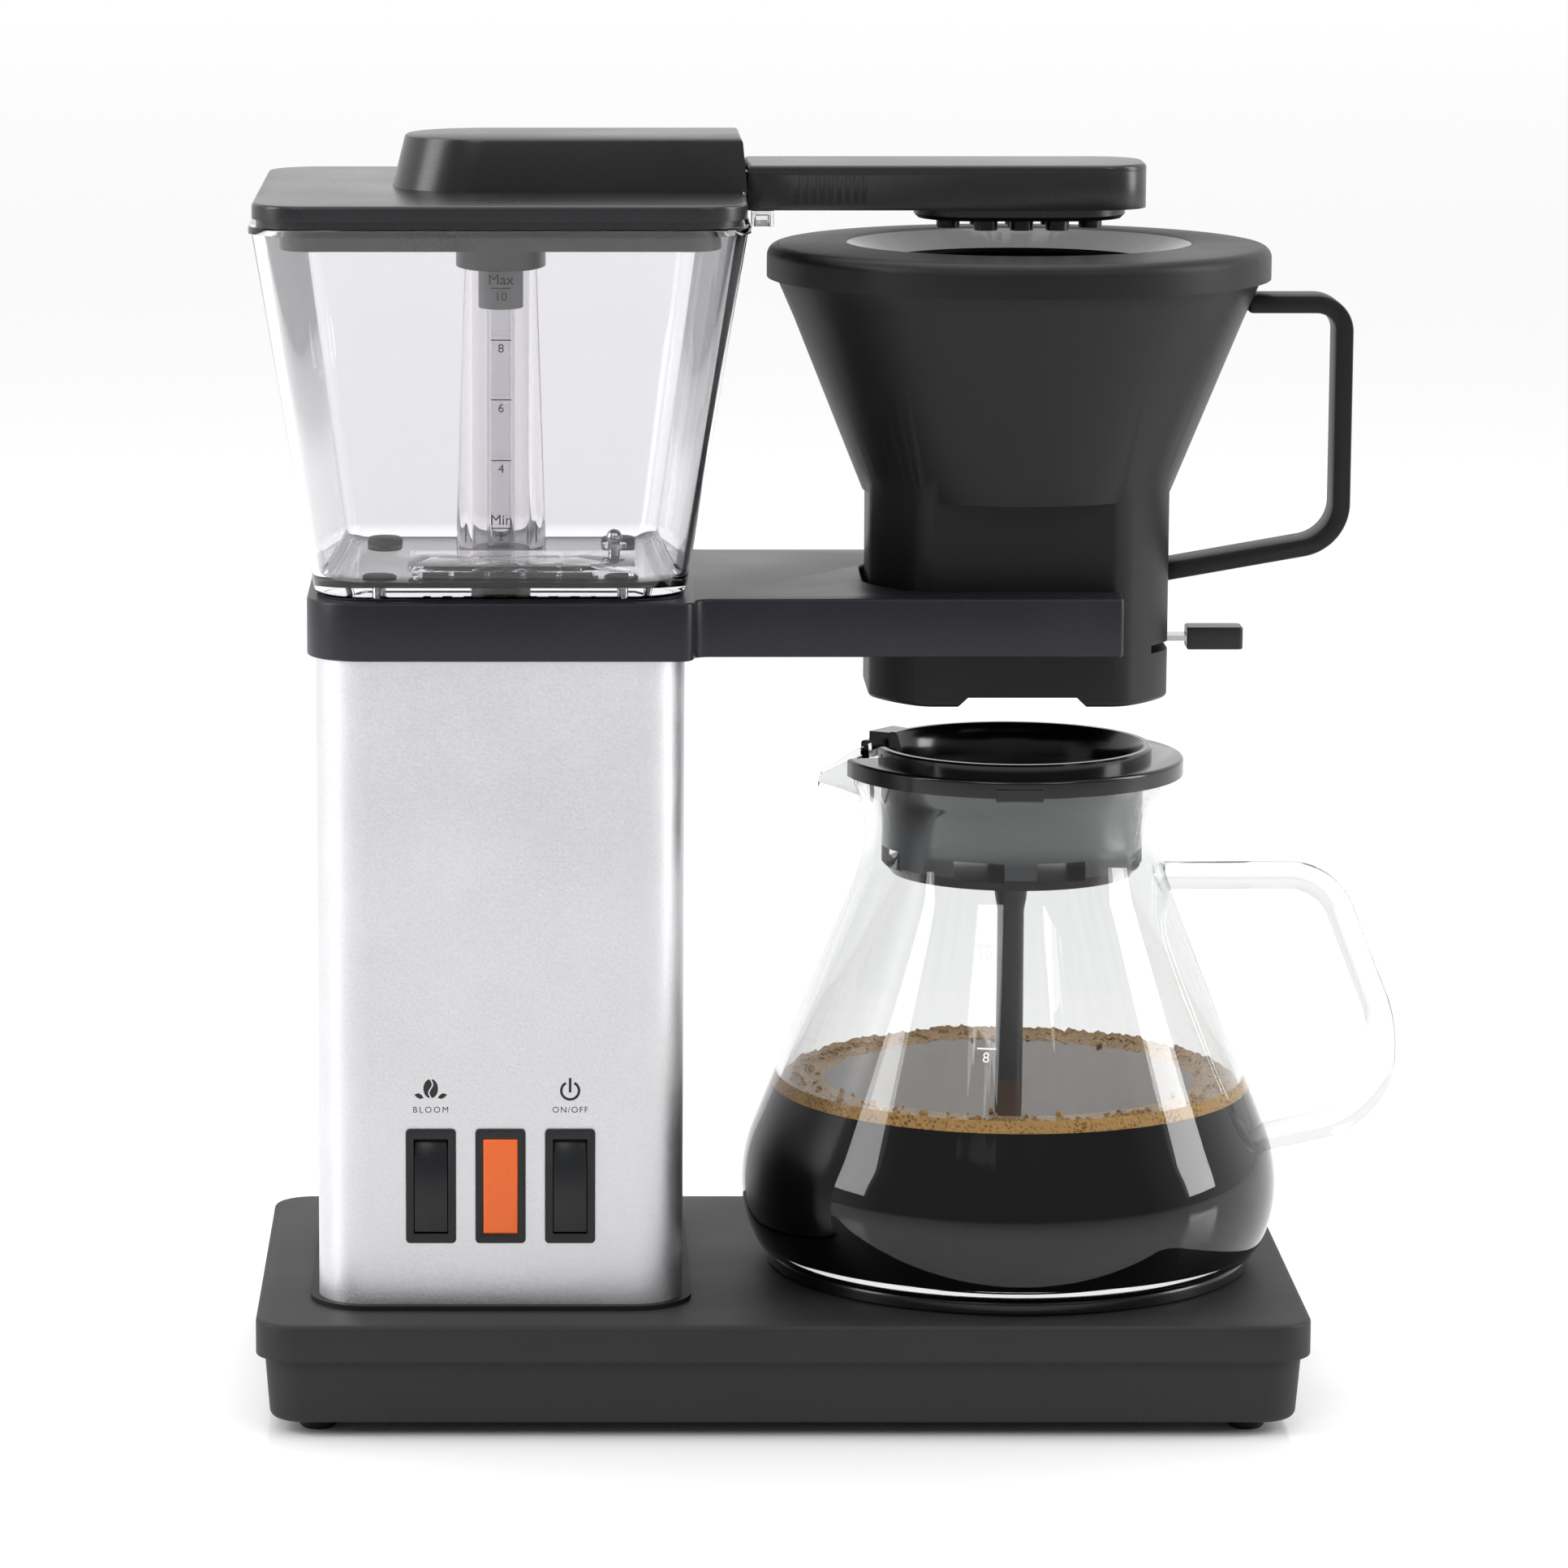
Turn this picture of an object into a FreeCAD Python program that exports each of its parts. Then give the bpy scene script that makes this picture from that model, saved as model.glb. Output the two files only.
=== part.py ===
import FreeCAD, Part
import math
import os

import Sketcher

# Drip coffee maker: a base with a hotplate, an aluminium column with the boiler, a support arm
# that ends in a fork, a clear water tank on the column, a brew basket in the fork and a glass
# carafe on the hotplate. Millimetres, X to the right, the front faces -Y, +Z up. The origin is
# the middle of the footprint, on the surface that the machine stands on.

SHEET_NAME = "sizes"
PLACES_NAME = "places"

# The driving sizes. Everything else is worked out from these.
DRIVING_SIZES = {
    # base
    "base_width": 300.0,
    "base_depth": 162.4,
    "base_corner": 12.0,
    "base_top": 33.5,
    "skirt_height": 10.6,
    "skirt_wall": 1.7,
    "top_plate_wall": 2.4,
    "foot_radius": 5.2,
    "foot_height": 4.0,
    "foot_inset": 17.4,
    "tray_inset": 2.4,
    "tray_draft": 1.5,
    "tray_wall": 2.5,
    "gland_radius": 6.0,
    "cord_bore": 3.4,
    # hotplate
    "plate_radius": 70.4,
    "plate_height": 4.4,
    "plate_wall": 1.4,
    "plate_skirt": 59.5,
    "plate_seal": 0.4,
    # column and its fittings
    "column_inset": 17.4,
    "column_width": 104.4,
    "column_depth": 122.2,
    "column_corner": 15.0,
    "column_wall": 2.0,
    "column_height": 185.5,
    "gasket_overhang": 2.5,
    "gasket_height": 1.4,
    # support arm
    "collar_side": 2.5,
    "collar_front": 1.4,
    "arm_thickness": 16.6,
    "arm_depth": 106.6,
    "arm_reach": 148.7,
    "arm_end": 27.1,
    "fork_gap": 1.5,
    "tongue_height": 5.0,
    "tongue_depth": 3.3,
    "slide_gap": 0.4,
    # switches and lamp
    "bezel_width": 14.3,
    "bezel_height": 33.2,
    "bezel_proud": 0.9,
    "bezel_pitch": 19.8,
    "bezel_centre": 34.6,
    "panel_hole_width": 12.4,
    "panel_hole_height": 30.6,
    "rocker_width": 9.3,
    "rocker_height": 26.6,
    "rocker_pin": 1.1,
    "rocker_fit": 0.05,
    # boiler and pipes
    "boiler_radius": 6.0,
    "boiler_wall": 1.0,
    "inlet_x": 32.0,
    "inlet_y": 18.0,
    "riser_radius": 4.0,
    "riser_wall": 1.2,
    "ball_radius": 3.0,
    # tank
    "tank_bottom_width": 104.8,
    "tank_bottom_depth": 117.6,
    "tank_top_width": 138.6,
    "tank_top_depth": 147.4,
    "tank_height": 104.9,
    "tank_wall": 2.2,
    "tank_floor": 3.2,
    "tank_corner": 15.0,
    "tank_rim_width": 140.4,
    "tank_rim_depth": 149.0,
    "tank_rim_height": 2.0,
    "tank_seal": 0.6,
    "tank_screw_x": 34.5,
    "tank_screw_y": 42.0,
    "riser_post_top": 10.2,
    "riser_post_foot": 13.2,
    # tank lid, cover and spray arm
    "lid_width": 138.0,
    "lid_depth": 148.0,
    "lid_corner": 15.0,
    "lid_height": 6.4,
    "lid_gap": 0.3,
    "cover_width": 49.0,
    "cover_left": 31.0,
    "cover_right": 70.0,
    "cover_height": 15.0,
    "spray_width": 38.0,
    "spray_height": 10.7,
    "spray_cap": 2.0,
    "spray_drop": 5.6,
    "spray_end": 35.8,
    "spray_corner": 14.0,
    "head_width": 60.6,
    "head_depth": 37.0,
    "head_height": 3.3,
    "nozzle_radius": 3.35,
    "nozzle_length": 3.0,
    "spray_gap": 3.9,
    # brew basket
    "neck_width": 86.0,
    "neck_depth": 72.4,
    "neck_round": 46.0,
    "neck_drop": 17.0,
    "neck_wall": 2.2,
    "bowl_foot": 44.5,
    "bowl_top": 64.6,
    "bowl_rise": 25.0,
    "bowl_wall": 2.2,
    "rim_radius": 69.6,
    "ring_radius": 72.3,
    "ring_height": 10.2,
    "ring_wall": 2.3,
    "ring_mouth": 49.4,
    "ring_hole": 39.0,
    "strap_reach": 95.9,
    "strap_thickness": 5.2,
    "strap_width": 15.0,
    # drip stop
    "web_rise": 1.4,
    "port_radius": 2.0,
    "port_offset": 7.3,
    "strip_width": 8.0,
    "strip_thickness": 1.5,
    "knob_reach": 66.0,
    "knob_length": 16.2,
    "knob_depth": 9.8,
    "knob_height": 6.5,
    "lever_swing": 30.0,
    # carafe
    "glass_belly": 78.2,
    "glass_neck": 42.8,
    "glass_rim": 47.0,
    "glass_wall": 2.4,
    "glass_lift": 0.3,
    "carafe_gap": 16.0,
    "carafe_ring": 40.3,
    "carafe_flange": 49.5,
    "carafe_skirt": 37.8,
    "stem_radius": 3.9,
    "handle_reach": 113.3,
    "handle_radius": 4.2,
    "spout_angle": 9.0,
}


class Size:
    """A length together with the sheet formula that gives it."""

    def __init__(self, formula, value):
        self.formula = formula
        self.value = float(value)

    def __add__(self, other):
        other = as_size(other)
        return Size(f"({self.formula} + {other.formula})", self.value + other.value)

    def __radd__(self, other):
        return as_size(other) + self

    def __sub__(self, other):
        other = as_size(other)
        return Size(f"({self.formula} - {other.formula})", self.value - other.value)

    def __rsub__(self, other):
        return as_size(other) - self

    def __mul__(self, other):
        other = as_size(other)
        return Size(f"{self.formula} * {other.formula}", self.value * other.value)

    def __rmul__(self, other):
        return as_size(other) * self

    def __truediv__(self, other):
        other = as_size(other)
        return Size(f"{self.formula} / {other.formula}", self.value / other.value)

    def __neg__(self):
        return Size(f"(0 - {self.formula})", -self.value)


def as_size(value):
    """A plain number as a Size."""
    if isinstance(value, Size):
        return value
    return Size(f"({value:.6g})", value)


def root(size):
    """The square root of a Size."""
    return Size(f"sqrt({size.formula})", math.sqrt(size.value))


def larger(first, second):
    """The larger of two Sizes."""
    return Size(f"max({first.formula}; {second.formula})", max(first.value, second.value))


class Sizes:
    """The driving sizes, one sheet row each, read as attributes."""

    def __init__(self, document, table):
        sheet = document.addObject("Spreadsheet::Sheet", SHEET_NAME)
        for row, (alias, value) in enumerate(table.items(), start=1):
            sheet.set(f"A{row}", alias)
            sheet.set(f"B{row}", str(value))
            sheet.setAlias(f"B{row}", alias)
            setattr(self, alias, Size(f"{SHEET_NAME}.{alias}", value))


doc = FreeCAD.newDocument("coffee_maker")
s = Sizes(doc, DRIVING_SIZES)
places = doc.addObject("App::VarSet", PLACES_NAME)
doc.recompute()


def place(name, size):
    """Keeps a worked-out position under a name that other formulas read."""
    places.addProperty("App::PropertyFloat", name)
    places.setExpression(name, size.formula)
    return Size(f"{PLACES_NAME}.{name}", size.value)


# Where things stand across the machine.
column_from_base = place("column_from_base", s.column_inset + (s.column_width - s.base_width) / 2)
brew_from_base = place("brew_from_base", column_from_base + s.arm_reach)
left_reach = larger(s.base_width / 2, s.tank_rim_width / 2 - column_from_base)
right_reach = larger(s.base_width / 2, brew_from_base + s.handle_reach)
base_x = place("base_x", (left_reach - right_reach) / 2)
column_x = place("column_x", base_x + column_from_base)
brew_x = place("brew_x", base_x + brew_from_base)

# Heights, from the floor up.
tray_floor = place("tray_floor", s.foot_height + s.tray_wall)
skirt_bottom = place("skirt_bottom", s.base_top - s.skirt_height)
plate_under = place("plate_under", s.base_top - s.top_plate_wall)
hotplate_top = place("hotplate_top", s.base_top + s.plate_seal + s.plate_height)
column_bottom = place("column_bottom", s.base_top + s.gasket_height)
arm_bottom = place("arm_bottom", column_bottom + s.column_height)
arm_top = place("arm_top", arm_bottom + s.arm_thickness)
tank_bottom = place("tank_bottom", arm_top + s.tank_seal)
tank_inside = place("tank_inside", tank_bottom + s.tank_floor)
tank_top = place("tank_top", tank_bottom + s.tank_height)
lid_bottom = place("lid_bottom", tank_top + s.lid_gap)
lid_top = place("lid_top", lid_bottom + s.lid_height)
spray_bottom = place("spray_bottom", lid_top - s.spray_drop)
head_bottom = place("head_bottom", spray_bottom - s.head_height)
nozzle_bottom = place("nozzle_bottom", head_bottom - s.nozzle_length)
ring_top = place("ring_top", nozzle_bottom - s.spray_gap)
ring_bottom = place("ring_bottom", ring_top - s.ring_height)
bowl_bottom = place("bowl_bottom", arm_top + s.bowl_rise)
bowl_shoulder = place("bowl_shoulder", ring_bottom - 11.4)
neck_bottom = place("neck_bottom", arm_bottom - s.neck_drop)
web_bottom = place("web_bottom", arm_bottom + s.web_rise)
glass_bottom = place("glass_bottom", hotplate_top + s.glass_lift)
carafe_lid_top = place("carafe_lid_top", neck_bottom - s.carafe_gap)
glass_top = place("glass_top", carafe_lid_top - 5.2)


def bind(obj, path, size):
    """Ties one property of an object to a formula."""
    obj.setExpression(path, as_size(size).formula)


def bind_corner(obj, corner):
    """Ties an object's place to three formulas."""
    for axis, size in zip("xyz", corner):
        bind(obj, f"Placement.Base.{axis}", size)


# Outlines. A loop is a list of corners and the rounded sides between them, keyed by the corner
# that the side starts from, as (radius, +1 for a side that bulges out or -1 for a hollow one).


def rounded(half_width, half_depth, radius):
    """A rectangle about the sketch's origin, with round corners."""
    half_width, half_depth, radius = as_size(half_width), as_size(half_depth), as_size(radius)
    near_x = half_width - radius
    near_y = half_depth - radius
    corners = [(-near_x, -half_depth), (near_x, -half_depth), (half_width, -near_y), (half_width, near_y)]
    corners += [(near_x, half_depth), (-near_x, half_depth), (-half_width, near_y), (-half_width, -near_y)]
    return corners, {1: (radius, 1), 3: (radius, 1), 5: (radius, 1), 7: (radius, 1)}


def rectangle(left, bottom, right, top):
    """A plain rectangle between two corners."""
    return [(left, bottom), (right, bottom), (right, top), (left, top)], {}


def circle(x, y, radius):
    """A circle, kept apart from the loops by its three values."""
    return as_size(x), as_size(y), as_size(radius)


def add_circle(sketch, loop):
    """Draws one circle and ties its centre and radius."""
    x, y, radius = loop
    centre = FreeCAD.Vector(x.value, y.value, 0)
    index = sketch.addGeometry(Part.Circle(centre, FreeCAD.Vector(0, 0, 1), radius.value), False)
    number = sketch.addConstraint(Sketcher.Constraint("DistanceX", -1, 1, index, 3, x.value))
    bind(sketch, f"Constraints[{number}]", x)
    number = sketch.addConstraint(Sketcher.Constraint("DistanceY", -1, 1, index, 3, y.value))
    bind(sketch, f"Constraints[{number}]", y)
    number = sketch.addConstraint(Sketcher.Constraint("Radius", index, radius.value))
    bind(sketch, f"Constraints[{number}]", radius)


def arc_between(start, end, radius, bulge):
    """The short arc from start to end, its centre left of the way for bulge +1."""
    chord = end - start
    half = chord.Length / 2
    rise = math.sqrt(max(radius * radius - half * half, 0.0))
    left = FreeCAD.Vector(-chord.y, chord.x, 0).normalize()
    centre = (start + end) * 0.5 + left * (rise * bulge)
    first, last = (start, end) if bulge > 0 else (end, start)
    begin = math.atan2(first.y - centre.y, first.x - centre.x)
    finish = math.atan2(last.y - centre.y, last.x - centre.x)
    return Part.ArcOfCircle(Part.Circle(centre, FreeCAD.Vector(0, 0, 1), radius), begin, finish)


def add_loop(sketch, loop):
    """Draws one closed loop, its corners and radii tied to their formulas."""
    corners, arcs = loop
    corners = [(as_size(x), as_size(y)) for x, y in corners]
    points = [FreeCAD.Vector(x.value, y.value, 0) for x, y in corners]
    count = len(points)
    sides = []
    for number in range(count):
        start, end = points[number], points[(number + 1) % count]
        if number in arcs:
            radius, bulge = as_size(arcs[number][0]), arcs[number][1]
            index = sketch.addGeometry(arc_between(start, end, radius.value, bulge), False)
            tie = sketch.addConstraint(Sketcher.Constraint("Radius", index, radius.value))
            bind(sketch, f"Constraints[{tie}]", radius)
            sides.append((index, 1, 2) if bulge > 0 else (index, 2, 1))
        else:
            index = sketch.addGeometry(Part.LineSegment(start, end), False)
            sides.append((index, 1, 2))
    for number in range(count):
        index, _, tail = sides[number]
        following, head, _ = sides[(number + 1) % count]
        sketch.addConstraint(Sketcher.Constraint("Coincident", index, tail, following, head))
    for (index, head, _), (x, y) in zip(sides, corners):
        for kind, size in (("DistanceX", x), ("DistanceY", y)):
            tie = sketch.addConstraint(Sketcher.Constraint(kind, -1, 1, index, head, size.value))
            bind(sketch, f"Constraints[{tie}]", size)


def new_body(label):
    """A sub-part made of sketches and features."""
    body = doc.addObject("PartDesign::Body", label)
    body.Label = label
    return body


def draw(body, plane, level, loops, shift=(0, 0)):
    """A sketch parallel to one of the body's planes.

    level is z on the XY plane, y on the XZ plane and x on the YZ plane. shift moves the
    sketch's own origin in the plane.
    """
    sketch = body.newObject("Sketcher::SketchObject", f"{body.Name}_{plane}")
    support = [item for item in body.Origin.OriginFeatures if item.Role == f"{plane}_Plane"][0]
    sketch.AttachmentSupport = [(support, "")]
    sketch.MapMode = "FlatFace"
    level = as_size(level)
    bind(sketch, "AttachmentOffset.Base.z", -level if plane == "XZ" else level)
    bind(sketch, "AttachmentOffset.Base.x", shift[0])
    bind(sketch, "AttachmentOffset.Base.y", shift[1])
    for loop in loops:
        if len(loop) == 3:
            add_circle(sketch, loop)
        else:
            add_loop(sketch, loop)
    return sketch


def extrude(body, kind, sketch, length, backward):
    """A pad or a pocket. backward goes against the sketch plane's normal."""
    feature = body.newObject(f"PartDesign::{kind}", f"{body.Name}_{kind}")
    feature.Profile = sketch
    feature.Reversed = backward if kind == "Pad" else not backward
    bind(feature, "Length", length)
    sketch.Visibility = False
    return feature


def pad(body, sketch, length, backward=False):
    """Adds the sketch's shape along the plane's normal: up, forward (-Y) or to the right."""
    return extrude(body, "Pad", sketch, length, backward)


def pocket(body, sketch, length, backward=False):
    """Cuts the sketch's shape along the plane's normal: up, forward (-Y) or to the right."""
    return extrude(body, "Pocket", sketch, length, backward)


def spin(body, kind, sketch):
    """A revolution or a groove about the sketch's own vertical axis."""
    feature = body.newObject(f"PartDesign::{kind}", f"{body.Name}_{kind}")
    feature.Profile = sketch
    feature.ReferenceAxis = (sketch, ["V_Axis"])
    feature.Angle = 360.0
    return feature


def loft(body, kind, sketches):
    """A loft through sketches, in order. kind is AdditiveLoft or SubtractiveLoft."""
    feature = body.newObject(f"PartDesign::{kind}", f"{body.Name}_{kind}")
    feature.Profile = sketches[0]
    feature.Sections = sketches[1:]
    feature.Ruled = True
    return feature


def round_edges(body, radius, chosen, kind="Fillet"):
    """Rounds or bevels the edges of the body's last feature that chosen() accepts."""
    doc.recompute()
    tip = body.Tip
    names = [f"Edge{n}" for n, edge in enumerate(tip.Shape.Edges, start=1) if chosen(edge)]
    if not names:
        raise RuntimeError(f"{body.Label}: no edge to round")
    feature = body.newObject(f"PartDesign::{kind}", f"{body.Name}_{kind}")
    feature.Base = (tip, names)
    bind(feature, "Radius" if kind == "Fillet" else "Size", radius)
    return feature


def flat_at(level):
    """Accepts edges that lie at one height."""
    def chosen(edge):
        return abs(edge.BoundBox.ZMin - level.value) < 0.01 and abs(edge.BoundBox.ZMax - level.value) < 0.01
    return chosen


def turned(label, axis_x, corners, arcs=None, axis_y=0):
    """A turned sub-part: a profile of (radius, height) corners about a vertical axis."""
    body = new_body(label)
    spin(body, "Revolution", draw(body, "XZ", axis_y, [(corners, arcs or {})], (axis_x, 0)))
    return body


def plate(label, x, half_width, half_depth, radius, bottom, height):
    """A slab with round corners."""
    body = new_body(label)
    pad(body, draw(body, "XY", bottom, [rounded(half_width, half_depth, radius)], (x, 0)), height)
    return body


def box(name, corner, sizes):
    """A Part box from its lowest corner."""
    obj = doc.addObject("Part::Box", name)
    for path, size in zip(("Length", "Width", "Height"), sizes):
        bind(obj, path, size)
    bind_corner(obj, corner)
    return obj


TURNS = {
    "z": FreeCAD.Rotation(),
    "y": FreeCAD.Rotation(FreeCAD.Vector(1, 0, 0), -90),
    "x": FreeCAD.Rotation(FreeCAD.Vector(0, 1, 0), 90),
}


def cylinder(name, radius, length, start, axis="z"):
    """A Part cylinder from the middle of its first face, along +x, +y or +z."""
    obj = doc.addObject("Part::Cylinder", name)
    obj.Placement = FreeCAD.Placement(FreeCAD.Vector(), TURNS[axis])
    bind(obj, "Radius", radius)
    bind(obj, "Height", length)
    bind_corner(obj, start)
    return obj


def tube(label, radius, bore, length, start, axis="z"):
    """A round tube."""
    outer = cylinder(f"{label}_outer", radius, length, start, axis)
    inner = cylinder(f"{label}_bore", bore, length, start, axis)
    return cut(label, outer, inner)


def cut(label, base, tool):
    """One shape less another."""
    obj = doc.addObject("Part::Cut", label)
    obj.Base = base
    obj.Tool = tool
    obj.Label = label
    return obj


def joined(label, pieces):
    """Several shapes made one solid."""
    obj = doc.addObject("Part::MultiFuse", label)
    obj.Shapes = pieces
    obj.Refine = True
    obj.Label = label
    return obj


def group(label, pieces):
    """Identical or paired pieces kept as separate solids in one node."""
    obj = doc.addObject("Part::Compound", label)
    obj.Links = pieces
    obj.Label = label
    return obj


def bent_path(points, bends):
    """A wire of straight runs with a tangent arc at each inner point, in the XZ plane."""
    edges = []
    start = points[0]
    for here, ahead, bend in zip(points[1:-1], points[2:], bends):
        toward = (here - start).normalize()
        away = (ahead - here).normalize()
        half_turn = toward.getAngle(away) / 2
        trim = bend * math.tan(half_turn)
        first = here - toward * trim
        last = here + away * trim
        inward = (away - toward).normalize()
        middle = here + inward * (bend / math.cos(half_turn) - bend)
        edges.append(Part.LineSegment(start, first).toShape())
        edges.append(Part.Arc(first, middle, last).toShape())
        start = last
    edges.append(Part.LineSegment(start, points[-1]).toShape())
    return Part.Wire(edges)


def swept(label, points, bends, section, bore=None):
    """A bar or pipe of one section along a bent path."""
    path = bent_path(points, bends)
    shape = path.makePipeShell([section], True, False)
    if bore is not None:
        shape = shape.cut(path.makePipeShell([bore], True, False))
    feature = doc.addObject("Part::Feature", label)
    feature.Shape = shape.removeSplitter()
    feature.Label = label
    return feature


def ring_wire(centre, normal, radius):
    """A circle as a wire, the section of a round bar."""
    return Part.Wire([Part.makeCircle(radius, centre, normal)])


def vector(x, y, z):
    """A point from three Sizes or numbers."""
    return FreeCAD.Vector(as_size(x).value, as_size(y).value, as_size(z).value)


def cosine(angle):
    """The cosine of an angle in degrees."""
    return Size(f"cos({angle.formula})", math.cos(math.radians(angle.value)))


def sine(angle):
    """The sine of an angle in degrees."""
    return Size(f"sin({angle.formula})", math.sin(math.radians(angle.value)))


# Base: a tray, the plate that telescopes over it, feet, screws and the cord's gland.

FOOT_SIDES = [(-1, -1), (1, -1), (1, 1), (-1, 1)]
BOSS_X = 118.0
BOSS_Y = 60.0
BOSS_RADIUS = 4.0
SCREW_RADIUS = 1.5
SCREW_HEAD_RADIUS = 3.0
SCREW_HEAD_HEIGHT = 1.5
SCREW_REACH = 15.0
STEM_RADIUS = 2.3
GLAND_X = 12.0
GLAND_HEIGHT = 13.5
SMALL_ROUND = 1.0


def foot_place(side):
    """Where one foot's axis stands."""
    x = base_x + (s.base_width / 2 - s.foot_inset) * side[0]
    return x, (s.base_depth / 2 - s.foot_inset) * side[1]


def make_base_tray():
    """The lower tub with its round bottom edge, screw wells, foot holes and gland hole."""
    body = new_body("base_tray")
    low_x = s.base_width / 2 - s.tray_inset - s.tray_draft
    low_y = s.base_depth / 2 - s.tray_inset - s.tray_draft
    high_x = s.base_width / 2 - s.skirt_wall - 0.2
    high_y = s.base_depth / 2 - s.skirt_wall - 0.2
    corner = s.base_corner - s.tray_inset
    rim = plate_under - 0.3
    sections = []
    for lift, inset in ((0, 1.8), (0.6, 0.6), (1.8, 0)):
        loop = rounded(low_x - inset, low_y - inset, corner - inset)
        sections.append(draw(body, "XY", s.foot_height + lift, [loop], (base_x, 0)))
    sections.append(draw(body, "XY", rim, [rounded(high_x, high_y, corner)], (base_x, 0)))
    loft(body, "AdditiveLoft", sections)
    inner = rounded(low_x - s.tray_wall, low_y - s.tray_wall, corner - s.tray_wall)
    pocket(body, draw(body, "XY", rim, [inner], (base_x, 0)), rim - tray_floor, True)
    screws = [circle(BOSS_X * x, BOSS_Y * y, SCREW_RADIUS + 0.2) for x, y in FOOT_SIDES]
    pocket(body, draw(body, "XY", s.foot_height, screws, (base_x, 0)), s.tray_wall)
    heads = [circle(BOSS_X * x, BOSS_Y * y, SCREW_HEAD_RADIUS + 0.2) for x, y in FOOT_SIDES]
    pocket(body, draw(body, "XY", s.foot_height, heads, (base_x, 0)), SCREW_HEAD_HEIGHT)
    stems = [circle(*foot_place(side), STEM_RADIUS) for side in FOOT_SIDES]
    pocket(body, draw(body, "XY", s.foot_height, stems), s.tray_wall)
    gland = circle(column_x + GLAND_X, GLAND_HEIGHT, s.gland_radius - 1.6)
    pocket(body, draw(body, "XZ", s.base_depth / 2, [gland]), 12.0)
    return body


def make_base_plate():
    """The top plate with its skirt, screw bosses and the openings under hotplate and column."""
    body = new_body("base_top_plate")
    half_x, half_y = s.base_width / 2, s.base_depth / 2
    outer = rounded(half_x, half_y, s.base_corner)
    pad(body, draw(body, "XY", skirt_bottom, [outer], (base_x, 0)), s.skirt_height)
    round_edges(body, SMALL_ROUND, flat_at(s.base_top))
    inner = rounded(half_x - s.skirt_wall, half_y - s.skirt_wall, s.base_corner - s.skirt_wall)
    pocket(body, draw(body, "XY", skirt_bottom, [inner], (base_x, 0)), plate_under - skirt_bottom)
    bosses = [circle(BOSS_X * x, BOSS_Y * y, BOSS_RADIUS) for x, y in FOOT_SIDES]
    start = tray_floor + 0.2
    pad(body, draw(body, "XY", start, bosses, (base_x, 0)), plate_under + 0.5 - start)
    pilots = [circle(BOSS_X * x, BOSS_Y * y, SCREW_RADIUS) for x, y in FOOT_SIDES]
    pocket(body, draw(body, "XY", start, pilots, (base_x, 0)), SCREW_REACH)
    opening = circle(0, 0, s.plate_skirt + 0.6)
    pocket(body, draw(body, "XY", s.base_top, [opening], (brew_x, 0)), s.top_plate_wall + 1, True)
    wires = rounded(28.0, 34.0, 4.0)
    pocket(body, draw(body, "XY", s.base_top, [wires], (column_x, 0)), s.top_plate_wall + 1, True)
    return body


def make_base_fittings():
    """Feet, screws, gland and terminal block."""
    feet = []
    screws = []
    for number, side in enumerate(FOOT_SIDES, start=1):
        x, y = foot_place(side)
        pad_disc = cylinder(f"foot_pad_{number}", s.foot_radius, s.foot_height, (x, y, 0))
        stem = cylinder(f"foot_stem_{number}", STEM_RADIUS, s.foot_height + s.tray_wall, (x, y, 0))
        feet.append(joined(f"foot_{number}", [pad_disc, stem]))
        place_x, place_y = base_x + BOSS_X * side[0], BOSS_Y * side[1]
        spot = (place_x, place_y, s.foot_height)
        head = cylinder(f"screw_head_{number}", SCREW_HEAD_RADIUS, SCREW_HEAD_HEIGHT, spot)
        shank = cylinder(f"screw_shank_{number}", SCREW_RADIUS, SCREW_REACH, spot)
        screws.append(joined(f"base_screw_{number}", [head, shank]))
    back = s.base_depth / 2
    x = column_x + GLAND_X
    flange = cylinder("gland_flange", s.gland_radius + 1.0, 2.0, (x, back - 2.6, GLAND_HEIGHT), "y")
    barrel = cylinder("gland_barrel", s.gland_radius - 1.6, 12.0, (x, back - 12.6, GLAND_HEIGHT), "y")
    bore = cylinder("gland_bore", s.cord_bore, 20.0, (x, back - 16, GLAND_HEIGHT), "y")
    gland = cut("cord_gland", joined("gland_solid", [flange, barrel]), bore)
    block = box("terminal_base", (column_x - 16, 34.0, tray_floor), (32, 16, 12))
    spots = [(column_x - 10 + 10 * n, 42.0, tray_floor + 7) for n in range(3)]
    wells = [cylinder(f"terminal_well_{n}", 2.4, 6.0, spot) for n, spot in enumerate(spots)]
    terminal = cut("terminal_block", block, group("terminal_wells", wells))
    return [group("rubber_feet", feet), group("base_screws", screws), gland, terminal]


def make_hotplate():
    """The pressed hotplate, its seal, the heating ring under it and the ring's clamp bar."""
    top, edge = hotplate_top, s.base_top + s.plate_seal
    under = top - s.plate_wall
    skirt_foot = s.base_top - 5.5
    bend = 1.8
    profile = [(0, under), (0, top), (s.plate_radius - bend, top), (s.plate_radius, top - bend)]
    profile += [(s.plate_radius, edge), (s.plate_skirt, edge), (s.plate_skirt, skirt_foot)]
    profile += [(s.plate_skirt - s.plate_wall, skirt_foot), (s.plate_skirt - s.plate_wall, under)]
    hotplate = turned("hotplate", brew_x, profile, {2: (bend, -1)})
    seal_section = rectangle(s.plate_skirt + 1, s.base_top, s.plate_radius - 1.2, edge)
    seal = turned("hotplate_seal", brew_x, *seal_section)
    heater = turned("hotplate_heater", brew_x, *rectangle(26.0, under - 4, 46.0, under))
    bar = box("hotplate_clamp", (brew_x - 54, -8, under - 5.5), (108, 16, 1.5))
    return [hotplate, seal, heater, bar]


# Column: an extruded tube, its gasket, and the die-cast arm that closes it and ends in the fork.

TONGUE_START = 6.0
GROOVE_STOP = 1.0


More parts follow.
